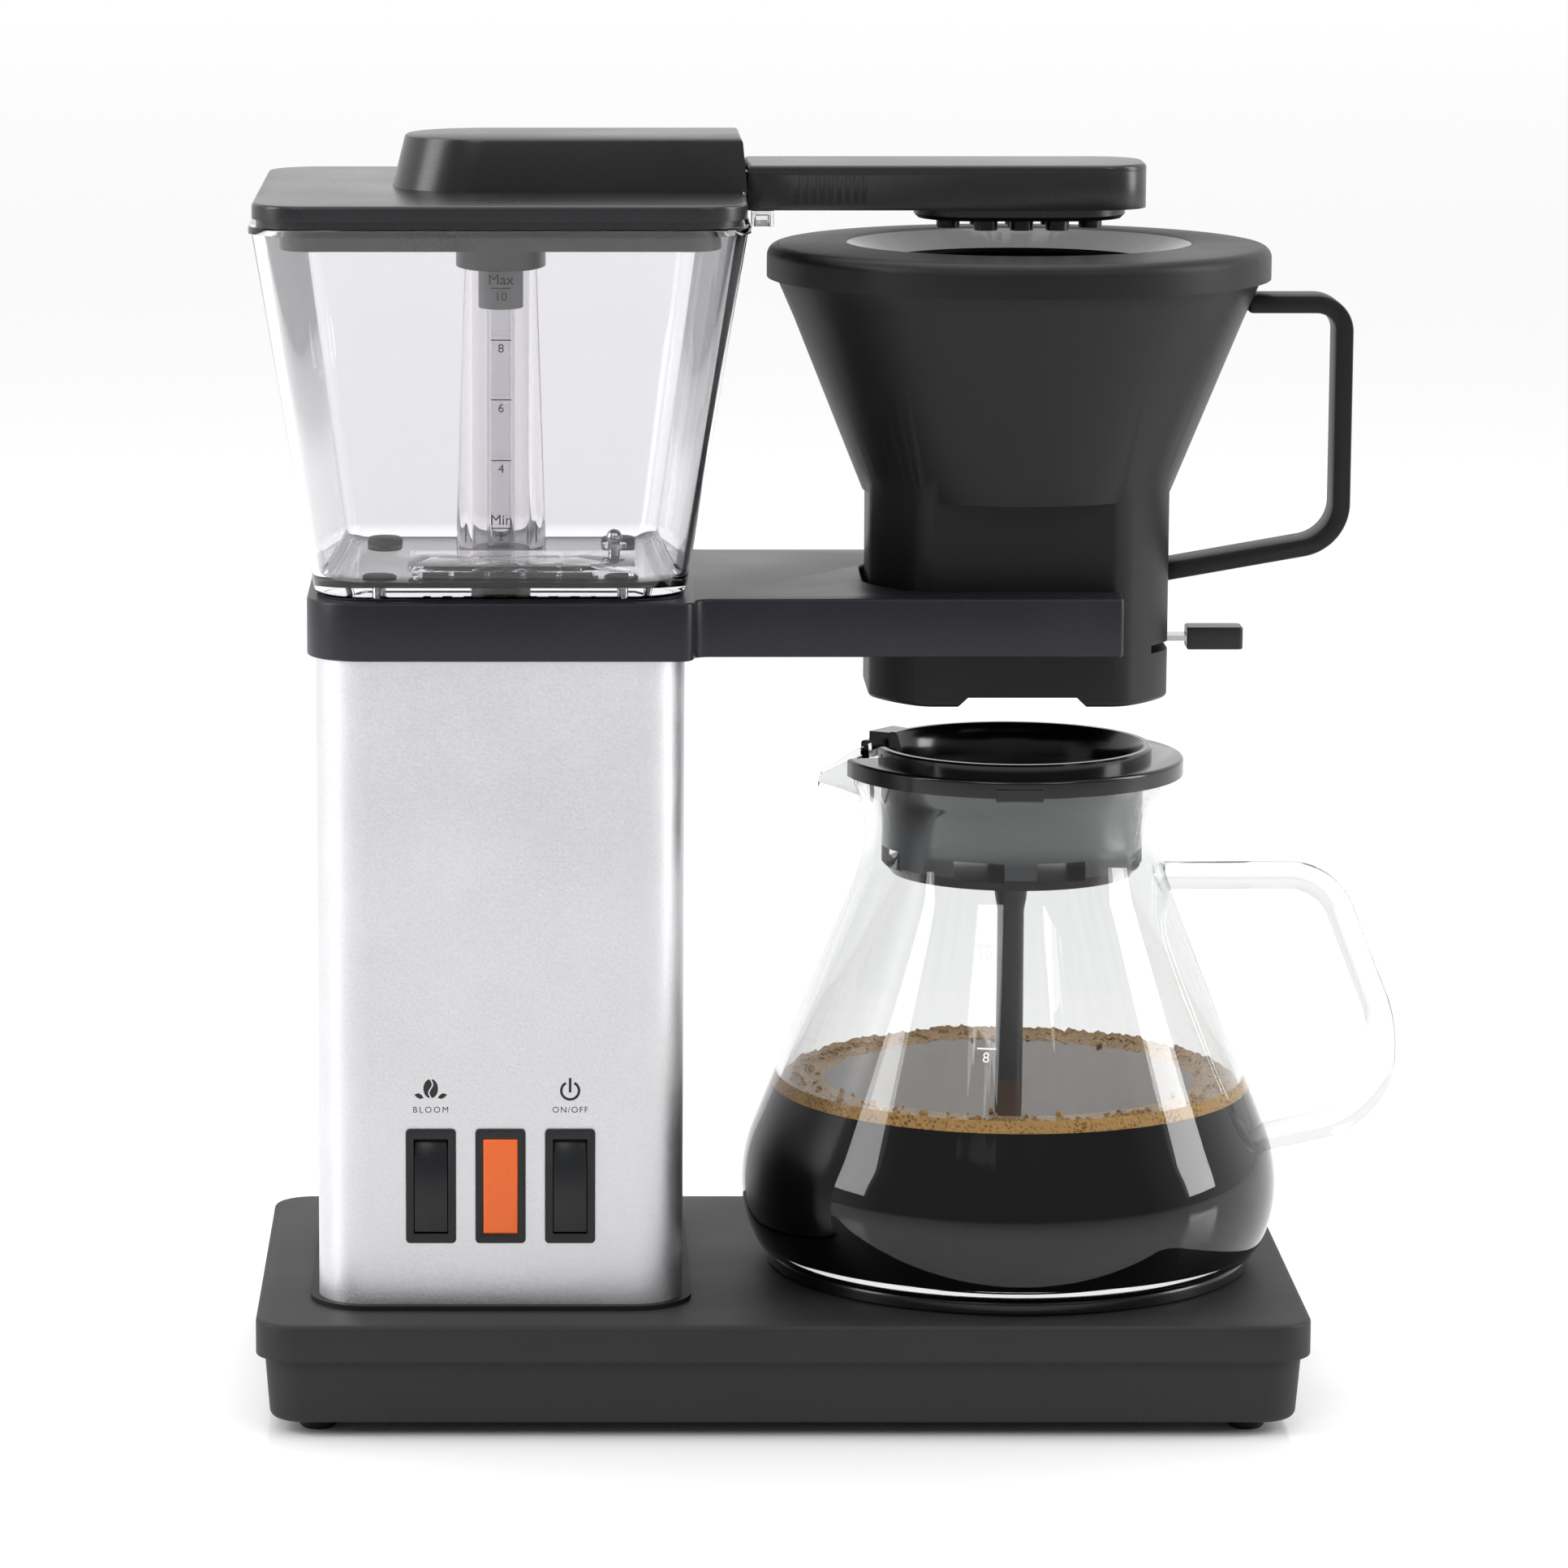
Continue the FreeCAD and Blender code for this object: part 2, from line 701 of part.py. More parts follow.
def column_outline(grow):
    """The column's section, made larger by grow."""
    return rounded(s.column_width / 2 + grow, s.column_depth / 2 + grow, s.column_corner + grow)


def bezel_places():
    """Names and middles of the two switches and the lamp, as seen from the front."""
    pitch = s.bezel_pitch
    return [("left", column_x - pitch), ("lamp", column_x), ("right", column_x + pitch)]


def make_column():
    """The gasket and the tube, with the three openings for switches and lamp."""
    gasket = new_body("column_gasket")
    loops = [column_outline(s.gasket_overhang), column_outline(-s.column_wall)]
    pad(gasket, draw(gasket, "XY", s.base_top, loops, (column_x, 0)), s.gasket_height)
    shell = new_body("column_shell")
    loops = [column_outline(as_size(0)), column_outline(-s.column_wall)]
    pad(shell, draw(shell, "XY", column_bottom, loops, (column_x, 0)), s.column_height)
    half_x, half_z = s.panel_hole_width / 2, s.panel_hole_height / 2
    middle = column_bottom + s.bezel_centre
    holes = [rectangle(x - half_x, middle - half_z, x + half_x, middle + half_z) for _, x in bezel_places()]
    pocket(shell, draw(shell, "XZ", -(s.column_depth / 2 + 1), holes), s.column_wall + 2, True)
    return [gasket, shell]


def neck_outline(inset, blend=10.0):
    """The neck's section: a circle with four flats, blended where they meet, moved inwards."""
    inset = as_size(inset)
    radius = s.neck_round - inset
    half_x, half_y = s.neck_width / 2 - inset, s.neck_depth / 2 - inset
    blend = as_size(blend) - inset
    reach = radius - blend
    flat_x = root(reach * reach - (half_y - blend) * (half_y - blend))
    flat_y = root(reach * reach - (half_x - blend) * (half_x - blend))
    grow = radius / reach
    round_x, round_y = flat_x * grow, (half_y - blend) * grow
    side_x, side_y = (half_x - blend) * grow, flat_y * grow
    quarter = [(flat_x, half_y), (round_x, round_y), (side_x, side_y), (half_x, flat_y)]
    lower_right = [(x, -y) for x, y in quarter]
    upper_right = list(reversed(quarter))
    upper_left = [(-x, y) for x, y in quarter]
    lower_left = [(-x, -y) for x, y in reversed(quarter)]
    arcs = {}
    for start in range(0, 16, 4):
        arcs[start] = (blend, 1)
        arcs[start + 1] = (radius, 1)
        arcs[start + 2] = (blend, 1)
    return lower_right + upper_right + upper_left + lower_left, arcs


def make_support_arm():
    """Collar, arm and fork in one casting, hollow under the collar, with the two tongues."""
    body = new_body("support_arm")
    half_x = s.column_width / 2 + s.collar_side
    half_y = s.column_depth / 2 + s.collar_front
    corner = s.column_corner + s.collar_front
    arm_y = s.arm_depth / 2
    sway = (half_y - arm_y) / 2
    end = s.arm_reach + s.arm_end
    near_x, near_y = half_x - corner, half_y - corner
    lower = [(-near_x, -half_y), (half_x - sway, -half_y), (half_x, -half_y + sway), (half_x + sway, -arm_y)]
    lower += [(end, -arm_y)]
    upper = [(x, -y) for x, y in reversed(lower)]
    corners = lower + upper + [(-half_x, near_y), (-half_x, -near_y)]
    arcs = {1: (sway, 1), 2: (sway, -1), 6: (sway, -1), 7: (sway, 1), 9: (corner, 1), 11: (corner, 1)}
    pad(body, draw(body, "XY", arm_bottom, [(corners, arcs)], (column_x, 0)), s.arm_thickness)
    at_end = column_x + end

    def far_corner(edge):
        box_of = edge.BoundBox
        return abs(box_of.XMin - at_end.value) < 0.01 and box_of.ZLength > 10 and box_of.YLength < 0.01

    round_edges(body, SMALL_ROUND, far_corner)
    round_edges(body, 0.6, flat_at(arm_top))
    gap_round = s.neck_round + s.fork_gap
    side = s.neck_width / 2 + s.fork_gap
    inner_y = s.neck_depth / 2 + s.fork_gap
    side_y = root(gap_round * gap_round - side * side)
    bend_x = root(gap_round * gap_round - inner_y * inner_y)
    past = s.arm_end + 5
    fork = [(-side, side_y), (-side, -side_y), (-bend_x, -inner_y)]
    fork += [(past, -inner_y), (past, inner_y), (-bend_x, inner_y)]
    opening = (fork, {1: (gap_round, 1), 5: (gap_round, 1)})
    pocket(body, draw(body, "XY", arm_top, [opening], (brew_x, 0)), s.arm_thickness, True)
    tongue_x = -bend_x + 3
    tongue_end = s.arm_end - 2
    tip_y = inner_y - s.tongue_depth
    tongues = [rectangle(tongue_x, tip_y, tongue_end, inner_y + 0.5)]
    tongues += [rectangle(tongue_x, -inner_y - 0.5, tongue_end, -tip_y)]
    level = arm_bottom + TONGUE_START
    pad(body, draw(body, "XY", level, tongues, (brew_x, 0)), s.tongue_height)
    hollow = rounded(half_x - 6.0, half_y - 6.0, corner - 4.0)
    pocket(body, draw(body, "XY", arm_bottom, [hollow], (column_x, 0)), s.arm_thickness - 4)
    web_end = s.arm_reach - side - 6
    web = rectangle(half_x + 3, -arm_y + 6, web_end, arm_y - 6)
    pocket(body, draw(body, "XY", arm_bottom, [web], (column_x, 0)), s.arm_thickness - 4)
    pipes = [circle(0, 0, 9.0), circle(s.inlet_x, -s.inlet_y, 7.0)]
    pipes += [circle(s.tank_screw_x * x, s.tank_screw_y * y, SCREW_RADIUS + 0.2) for x, y in FOOT_SIDES]
    pocket(body, draw(body, "XY", arm_top, pipes, (column_x, 0)), 6.0, True)
    return body


# Switches and lamp.

HOUSING_DEPTH = 22.0
CAVITY_DEPTH = 8.5
PIVOT_DEPTH = 2.2
CAVITY_GAP = 0.25
TERMINAL_REACH = 7.0
WIRE_RADIUS = 1.2


def make_switches():
    """Three housings with bezels, two rockers on their pins, the lamp lens and the terminals."""
    front = -s.column_depth / 2
    middle = place("switch_middle", column_bottom + s.bezel_centre)
    pivot = place("switch_pivot", front + PIVOT_DEPTH)
    half_x, half_z = s.bezel_width / 2, s.bezel_height / 2
    hole_x, hole_z = s.panel_hole_width / 2 - 0.1, s.panel_hole_height / 2 - 0.1
    room_x = s.rocker_width / 2 + CAVITY_GAP
    room_z = s.rocker_height / 2 + 0.45
    made = []
    terminals = []
    for name, x in bezel_places():
        housing = new_body("lamp_housing" if name == "lamp" else f"switch_housing_{name}")
        flange = rounded(half_x, half_z, 1.2)
        pad(housing, draw(housing, "XZ", front, [flange], (x, middle)), s.bezel_proud)
        round_edges(housing, 0.4, lambda edge: abs(edge.BoundBox.YMax - (front - s.bezel_proud).value) < 0.01)
        shank = rectangle(-hole_x, -hole_z, hole_x, hole_z)
        pad(housing, draw(housing, "XZ", front, [shank], (x, middle)), HOUSING_DEPTH, True)
        room = rectangle(-room_x, -room_z, room_x, room_z)
        level = front - s.bezel_proud
        pocket(housing, draw(housing, "XZ", level, [room], (x, middle)), CAVITY_DEPTH + s.bezel_proud, True)
        if name == "lamp":
            lens = new_body("lamp_lens")
            glow = rectangle(-room_x, -room_z, room_x, room_z)
            pad(lens, draw(lens, "XZ", front + CAVITY_DEPTH, [glow], (x, middle)), CAVITY_DEPTH + 1.4)
            round_edges(lens, 0.8, lambda edge: abs(edge.BoundBox.YMax - (front - 1.4).value) < 0.01)
            made.append(lens)
        else:
            pin = circle(pivot, middle, s.rocker_pin + s.rocker_fit)
            pocket(housing, draw(housing, "YZ", x - half_x - 1, [pin]), s.bezel_width + 2)
            rocker = new_body(f"rocker_{name}")
            half_z_rocker = s.rocker_height / 2 - 0.1
            profile = [(-1.5, half_z_rocker), (-3.7, 5.7), (-3.1, -half_z_rocker), (1.5, -9.0), (1.5, 9.0)]
            half_width = s.rocker_width / 2
            sketch = draw(rocker, "YZ", x - half_width, [(profile, {})], (pivot, middle))
            pad(rocker, sketch, s.rocker_width)
            pins = draw(rocker, "YZ", x - half_width - 1.1, [circle(pivot, middle, s.rocker_pin)])
            pad(rocker, pins, s.rocker_width + 2.2)
            made.append(rocker)
        for side in (-1, 1):
            corner = (x - 3.0, front + HOUSING_DEPTH, middle + 7.0 * side - 0.4)
            terminals.append(box(f"terminal_{name}_{side + 1}", corner, (6, TERMINAL_REACH, 0.8)))
        made.append(housing)
    made.append(group("switch_terminals", terminals))
    return made


# Boiler: a bent tube with a heating block, a check valve and the hoses.


def make_boiler():
    """The bent tube, its heating block and protectors, the valve, its ball and the hoses."""
    inlet_x, inlet_y = column_x + s.inlet_x, -s.inlet_y
    bend_level = column_bottom + 40
    tube_top = arm_bottom + 1.6
    valve_foot = bend_level + 90
    points = [vector(column_x, 0, tube_top), vector(column_x, 0, bend_level)]
    points += [vector(inlet_x, inlet_y, bend_level), vector(inlet_x, inlet_y, valve_foot + 8)]
    bend = 16.0
    down = FreeCAD.Vector(0, 0, -1)
    section = ring_wire(points[0], down, s.boiler_radius.value)
    bore = ring_wire(points[0], down, (s.boiler_radius - s.boiler_wall).value)
    boiler = swept("boiler_tube", points, [bend, bend], section, bore)
    block_foot = bend_level + 24
    solid = box("block_solid", (column_x - 13, -13, block_foot), (26, 26, 84))
    drill = cylinder("block_bore", s.boiler_radius, 84, (column_x, 0, block_foot))
    block = cut("boiler_block", solid, drill)
    thermostat = joined("thermostat", [
        cylinder("thermostat_can", 8.0, 6.0, (column_x, 13.0, block_foot + 62), "y"),
        box("thermostat_tab", (column_x - 3, 19.0, block_foot + 61), (6, 6, 2)),
    ])
    fuse = cylinder("thermal_fuse", 3.0, 20.0, (column_x - 10, 16.0, block_foot + 24), "x")
    fuse.Label = "thermal_fuse"
    v = valve_foot
    profile = [(s.boiler_radius, v), (8.6, v), (8.6, v + 22), (5.0, v + 24), (5.0, v + 36)]
    profile += [(2.0, v + 36), (2.0, v + 21), (3.4, v + 21), (3.4, v + 11), (1.6, v + 11), (1.6, v + 8)]
    profile += [(s.boiler_radius, v + 8)]
    valve = turned("check_valve", inlet_x, profile, axis_y=inlet_y)
    ball = doc.addObject("Part::Sphere", "check_valve_ball")
    bind(ball, "Radius", s.ball_radius)
    bind_corner(ball, (inlet_x, inlet_y, v + 11.3 + s.ball_radius))
    hose_top = arm_top - 5
    inlet_hose = tube("inlet_hose", 7.4, 5.0, hose_top - (v + 25), (inlet_x, inlet_y, v + 25))
    t = tube_top
    profile = [(s.boiler_radius, t - 12), (8.0, t - 12), (8.0, t + 3), (6.4, t + 8), (s.riser_radius, t + 8)]
    profile += [(s.riser_radius, t), (s.boiler_radius, t)]
    outlet_hose = turned("outlet_hose", column_x, profile)
    clamps = [
        tube("clamp_low", 8.4, 7.4, 3.0, (inlet_x, inlet_y, v + 28)),
        tube("clamp_high", 8.4, 7.4, 3.0, (inlet_x, inlet_y, hose_top - 6)),
        tube("clamp_outlet", 9.0, 8.0, 3.0, (column_x, 0, t - 9)),
    ]
    wires = []
    for number, (name, x) in enumerate(bezel_places()):
        wire_y = -s.column_depth / 2 + HOUSING_DEPTH + TERMINAL_REACH + WIRE_RADIUS
        foot = (column_x - 10 + 10 * number, wire_y, s.base_top - 6)
        wires.append(cylinder(f"wire_{name}", WIRE_RADIUS, column_bottom + s.bezel_centre - s.base_top, foot))
    return [boiler, block, thermostat, fuse, valve, ball, inlet_hose, outlet_hose,
            group("hose_clamps", clamps), group("switch_wires", wires)]


# Water tank, what stands on its floor and the riser.

RISER_TOP = 22.5
SLEEVE_RADIUS = 6.45
SLEEVE_LENGTH = 16.0


TANK_BOSS_HEIGHT = 2.2
TANK_PILOT_DEPTH = 4.2
TANK_SCREW_LENGTH = 9.8
FLOOR_PLATE_LIFT = 3.8
POST_MARGIN = 0.6


def tank_outline(width, depth, inset):
    """The tank's section at some height."""
    return rounded(width / 2 - inset, depth / 2 - inset, s.tank_corner - inset)


def make_tank():
    """The clear tank with its riser post, outlet nipple, rim and the rest for the spray arm."""
    body = new_body("water_tank")
    at = (column_x, 0)
    none = as_size(0)
    low = draw(body, "XY", tank_bottom, [tank_outline(s.tank_bottom_width, s.tank_bottom_depth, none)], at)
    high = draw(body, "XY", tank_top, [tank_outline(s.tank_top_width, s.tank_top_depth, none)], at)
    loft(body, "AdditiveLoft", [low, high])
    rim = tank_outline(s.tank_rim_width, s.tank_rim_depth, none)
    pad(body, draw(body, "XY", tank_top - s.tank_rim_height, [rim], at), s.tank_rim_height)
    rest = rectangle(s.lid_width / 2 + 0.4, -16, s.tank_rim_width / 2 + 7.6, -2)
    rest_foot = spray_bottom - 4.8
    pad(body, draw(body, "XY", rest_foot, [rest], at), 4.5)
    slope = (s.tank_top_width - s.tank_bottom_width) / s.tank_height
    inside_width = s.tank_bottom_width + slope * s.tank_floor
    slope_y = (s.tank_top_depth - s.tank_bottom_depth) / s.tank_height
    inside_depth = s.tank_bottom_depth + slope_y * s.tank_floor
    over = 2.0
    low = draw(body, "XY", tank_inside, [tank_outline(inside_width, inside_depth, s.tank_wall)], at)
    high_loop = tank_outline(s.tank_top_width + slope * over, s.tank_top_depth + slope_y * over, s.tank_wall)
    high = draw(body, "XY", tank_top + over, [high_loop], at)
    loft(body, "SubtractiveLoft", [low, high])
    post_top = tank_top - 16.5
    foot = draw(body, "XY", tank_inside - 0.5, [circle(0, 0, s.riser_post_foot)], at)
    head = draw(body, "XY", post_top, [circle(0, 0, s.riser_post_top)], at)
    loft(body, "AdditiveLoft", [foot, head])
    bore = s.riser_post_top - 1.8
    pocket(body, draw(body, "XY", post_top, [circle(0, 0, bore)], at), post_top - tank_bottom, True)
    bosses = [circle(s.tank_screw_x * x, s.tank_screw_y * y, 4.6) for x, y in FOOT_SIDES]
    pad(body, draw(body, "XY", tank_inside - 0.5, bosses, at), TANK_BOSS_HEIGHT)
    nipple = circle(s.inlet_x, -s.inlet_y, 5.0)
    pad(body, draw(body, "XY", tank_bottom + 0.5, [nipple], at), 16.0, True)
    drain = circle(s.inlet_x, -s.inlet_y, 3.4)
    pocket(body, draw(body, "XY", tank_inside, [drain], at), 30.0, True)
    pilots = [circle(s.tank_screw_x * x, s.tank_screw_y * y, SCREW_RADIUS) for x, y in FOOT_SIDES]
    pocket(body, draw(body, "XY", tank_bottom, pilots, at), TANK_PILOT_DEPTH)
    return body


def make_tank_fittings():
    """Seal, screws, floor plate, strainer, probe, riser, grommet and sleeve."""
    seal = new_body("tank_seal")
    outer = tank_outline(s.tank_bottom_width, s.tank_bottom_depth, as_size(0.5))
    inner = tank_outline(s.tank_bottom_width, s.tank_bottom_depth, as_size(6.0))
    pad(seal, draw(seal, "XY", arm_top, [outer, inner], (column_x, 0)), s.tank_seal)
    screws = []
    for number, side in enumerate(FOOT_SIDES, start=1):
        x, y = column_x + s.tank_screw_x * side[0], s.tank_screw_y * side[1]
        head_z = arm_top - 4 - SCREW_HEAD_HEIGHT
        head = cylinder(f"tank_screw_head_{number}", SCREW_HEAD_RADIUS, SCREW_HEAD_HEIGHT, (x, y, head_z))
        shank = cylinder(f"tank_screw_shank_{number}", SCREW_RADIUS, TANK_SCREW_LENGTH, (x, y, head_z))
        screws.append(joined(f"tank_screw_{number}", [head, shank]))
    plate_body = new_body("tank_floor_plate")
    plate_z = place("floor_plate", tank_inside + FLOOR_PLATE_LIFT)
    left, right, front = -26.0, 39.0, -50.0
    back = -s.riser_post_foot - POST_MARGIN
    posts = [left + 2 + (right - left - 4) * n / 6 for n in range(7)]
    holes = [rectangle(x - 1.2, -31.2, x + 1.2, -28.8) for x in (-18.9, -6.5, 8.8, 21.0)]
    sketch = draw(plate_body, "XY", plate_z, [rectangle(left, front, right, back), *holes], (column_x, 0))
    pad(plate_body, sketch, 1.6)
    feet = [rectangle(x - 0.8, y - 0.8, x + 0.8, y + 0.8) for x in posts for y in (front + 1, back - 1)]
    pad(plate_body, draw(plate_body, "XY", tank_inside, feet, (column_x, 0)), plate_z - tank_inside + 0.4)
    strainer = new_body("inlet_strainer")
    slots = [rectangle(x - 1.4, -42, x + 1.4, back - 5) for x in range(-18, 25, 6)]
    outline = rectangle(-22, -45, 27, back - 2.2)
    pad(strainer, draw(strainer, "XY", tank_inside, [outline, *slots], (column_x, 0)), 2.6)
    probe_x, probe_y, probe_z = column_x + 32.4, -24.0, plate_z + 1.6
    lower = cylinder("probe_stem", 1.7, 2.2, (probe_x, probe_y, probe_z))
    disc = cylinder("probe_disc", 3.5, 1.3, (probe_x, probe_y, probe_z + 2.0))
    ball = doc.addObject("Part::Sphere", "probe_ball")
    bind(ball, "Radius", as_size(2.3))
    bind_corner(ball, (probe_x, probe_y, probe_z + 5.0))
    probe = joined("level_probe", [lower, disc, ball])
    riser_foot = arm_bottom + 1.6
    riser_top = tank_top - RISER_TOP
    bore = s.riser_radius - s.riser_wall
    riser = tube("riser_tube", s.riser_radius, bore, riser_top - riser_foot, (column_x, 0, riser_foot))
    grommet = tube("riser_grommet", s.riser_post_top - 1.8, s.riser_radius, 8.0, (column_x, 0, tank_bottom))
    sleeve_foot = riser_top - 9
    sleeve = tube("tube_sleeve", SLEEVE_RADIUS, s.riser_radius, SLEEVE_LENGTH, (column_x, 0, sleeve_foot))
    return [seal, group("tank_screws", screws), plate_body, strainer, probe, riser, grommet, sleeve]


# Tank lid, its cover and the spray arm.


def make_tank_lid():
    """The lid with its skirt, the socket over the riser and the outlet nipple."""
    body = new_body("tank_lid")
    at = (column_x, 0)
    half_x, half_y = s.lid_width / 2, s.lid_depth / 2
    pad(body, draw(body, "XY", lid_bottom + 2, [rounded(half_x, half_y, s.lid_corner)], at), s.lid_height - 2)
    round_edges(body, SMALL_ROUND, flat_at(lid_top))
    step = rounded(half_x - 1.2, half_y - 1.2, s.lid_corner - 1.2)
    pad(body, draw(body, "XY", lid_bottom, [step], at), 2.2)
    skirt_x, skirt_y = half_x - 7.1, half_y - 8.0
    drop = 7.0
    skirt = [rounded(skirt_x, skirt_y, s.lid_corner - 4), rounded(skirt_x - 2, skirt_y - 2, s.lid_corner - 6)]
    pad(body, draw(body, "XY", lid_bottom - drop, skirt, at), drop + 0.5)
    boss_foot = lid_bottom - 20.7
    pad(body, draw(body, "XY", boss_foot, [circle(0, 0, 12.9)], at), 21.2)
    pocket(body, draw(body, "XY", boss_foot, [circle(0, 0, s.riser_post_top + 0.8)], at), 9.5)
    nipple = s.riser_radius - 0.3
    pad(body, draw(body, "XY", boss_foot + 0.4, [circle(0, 0, nipple)], at), 9.6)
    pocket(body, draw(body, "XY", boss_foot, [circle(0, 0, nipple - 1.2)], at), 30.0)
    return body


def cover_outline(left, right, half):
    """The cover's plan: a half-round left end and a square right end."""
    centre = half - left
    corners = [(centre, -half), (right, -half), (right, half), (centre, half), (-left, 0)]
    return corners, {3: (half, 1), 4: (half, 1)}


def spray_outline(inset, start):
    """The spray arm's plan, from start to its round right end, about the brew axis."""
    half = s.spray_width / 2 - inset
    end = s.spray_end - inset
    radius = s.spray_corner - inset
    corners = [(start, -half), (end - radius, -half), (end, -half + radius), (end, half - radius)]
    corners += [(end - radius, half), (start, half)]
    return corners, {1: (radius, 1), 3: (radius, 1)}


def make_spray_arm():
    """Cover, spray arm with its finger grips, cap and the nine-nozzle head."""
    half = s.cover_width / 2
    cover = new_body("lid_cover")
    at = (column_x, 0)
    top = lid_top + s.cover_height
    sections = [draw(cover, "XY", lid_top, [cover_outline(s.cover_left, s.cover_right, half)], at)]
    for drop, inset in ((1.2, 0), (0.4, 0.3), (0, 1.0)):
        loop = cover_outline(s.cover_left - 3.4 - inset, s.cover_right - 1.3 - inset, half - 1.0 - inset)
        sections.append(draw(cover, "XY", top - drop, [loop], at))
    loft(cover, "AdditiveLoft", sections)
    low_in = draw(cover, "XY", lid_top, [cover_outline(s.cover_left - 2, s.cover_right - 2, half - 2)], at)
    high_loop = cover_outline(s.cover_left - 5.6, s.cover_right - 3.4, half - 3.0)
    high_in = draw(cover, "XY", top - 2, [high_loop], at)
    loft(cover, "SubtractiveLoft", [low_in, high_in])
    door = rectangle(-15.2, lid_top, 15.2, lid_top + 5.3)
    pocket(cover, draw(cover, "YZ", column_x + s.cover_right + 1, [door]), 6.0, True)
    arm = new_body("spray_arm_body")
    start = s.cover_right + 0.3 - s.arm_reach
    at = (brew_x, 0)
    pad(arm, draw(arm, "XY", spray_bottom, [spray_outline(as_size(0), start)], at), s.spray_height)
    tongue = rectangle(start - 28, -15, start + 1, 15)
    pad(arm, draw(arm, "XY", lid_top, [tongue], at), s.spray_height - s.spray_drop)
    wall = as_size(2.0)
    channel = spray_outline(wall, start + 2)
    arm_cap = place("arm_cap", spray_bottom + s.spray_height)
    pocket(arm, draw(arm, "XY", arm_cap, [channel], at), s.spray_height - wall, True)
    inlet = rectangle(start - 26, -6, start + 4, 6)
    pocket(arm, draw(arm, "XY", arm_cap, [inlet], at), 3.6, True)
    feed = circle(0, 0, 8.0)
    pocket(arm, draw(arm, "XY", spray_bottom + wall, [feed], at), wall + 0.5, True)
    ribs_start = 13.2
    slot_starts = [start + ribs_start + 2.4 * n for n in range(9)]
    slots = [rectangle(left, 1.8, left + 1.3, 9.8) for left in slot_starts]
    side = s.spray_width / 2
    pocket(arm, draw(arm, "XZ", -side - 0.5, slots, (brew_x, spray_bottom)), 1.1, True)
    pocket(arm, draw(arm, "XZ", side + 0.5, slots, (brew_x, spray_bottom)), 1.1)
    cap = new_body("spray_arm_cap")
    pad(cap, draw(cap, "XY", arm_cap, [spray_outline(as_size(0), start)], at), s.spray_cap)
    round_edges(cap, 1.2, flat_at(arm_cap + s.spray_cap))
    head = new_body("shower_head")
    half_x, half_y = s.head_width / 2, s.head_depth / 2
    pad(head, draw(head, "XY", head_bottom, [rounded(half_x, half_y, half_y - 0.2)], at), s.head_height)
    round_edges(head, 1.2, flat_at(head_bottom), "Chamfer")
    hollow = rounded(half_x - 2, half_y - 2, half_y - 2.2)
    pocket(head, draw(head, "XY", spray_bottom, [hollow], at), 1.8, True)
    spots = [(x, y) for x, y in ((-20.4, 0), (0, 0), (20.4, 0))]
    spots += [(x, y) for x in (-10.2, 0, 10.2) for y in (-10.0, 10.0)]
    nozzles = [circle(x, y, s.nozzle_radius) for x, y in spots]
    pad(head, draw(head, "XY", head_bottom + 0.2, nozzles, at), s.nozzle_length + 0.2, True)
    jets = [circle(x, y, 1.2) for x, y in spots]
    pocket(head, draw(head, "XY", nozzle_bottom, jets, at), s.nozzle_length + s.head_height)
    return [cover, arm, cap, head]


# Brew basket, its lid and handle, and the drip stop in its neck.

BOWL_FLOOR = 2.5
WEB_THICKNESS = 2.0
TUBE_RADIUS = 12.0
PIVOT_RADIUS = 1.5
SEAL_THICKNESS = 1.1
DISC_THICKNESS = 3.6
STRIP_LIFT = 1.0


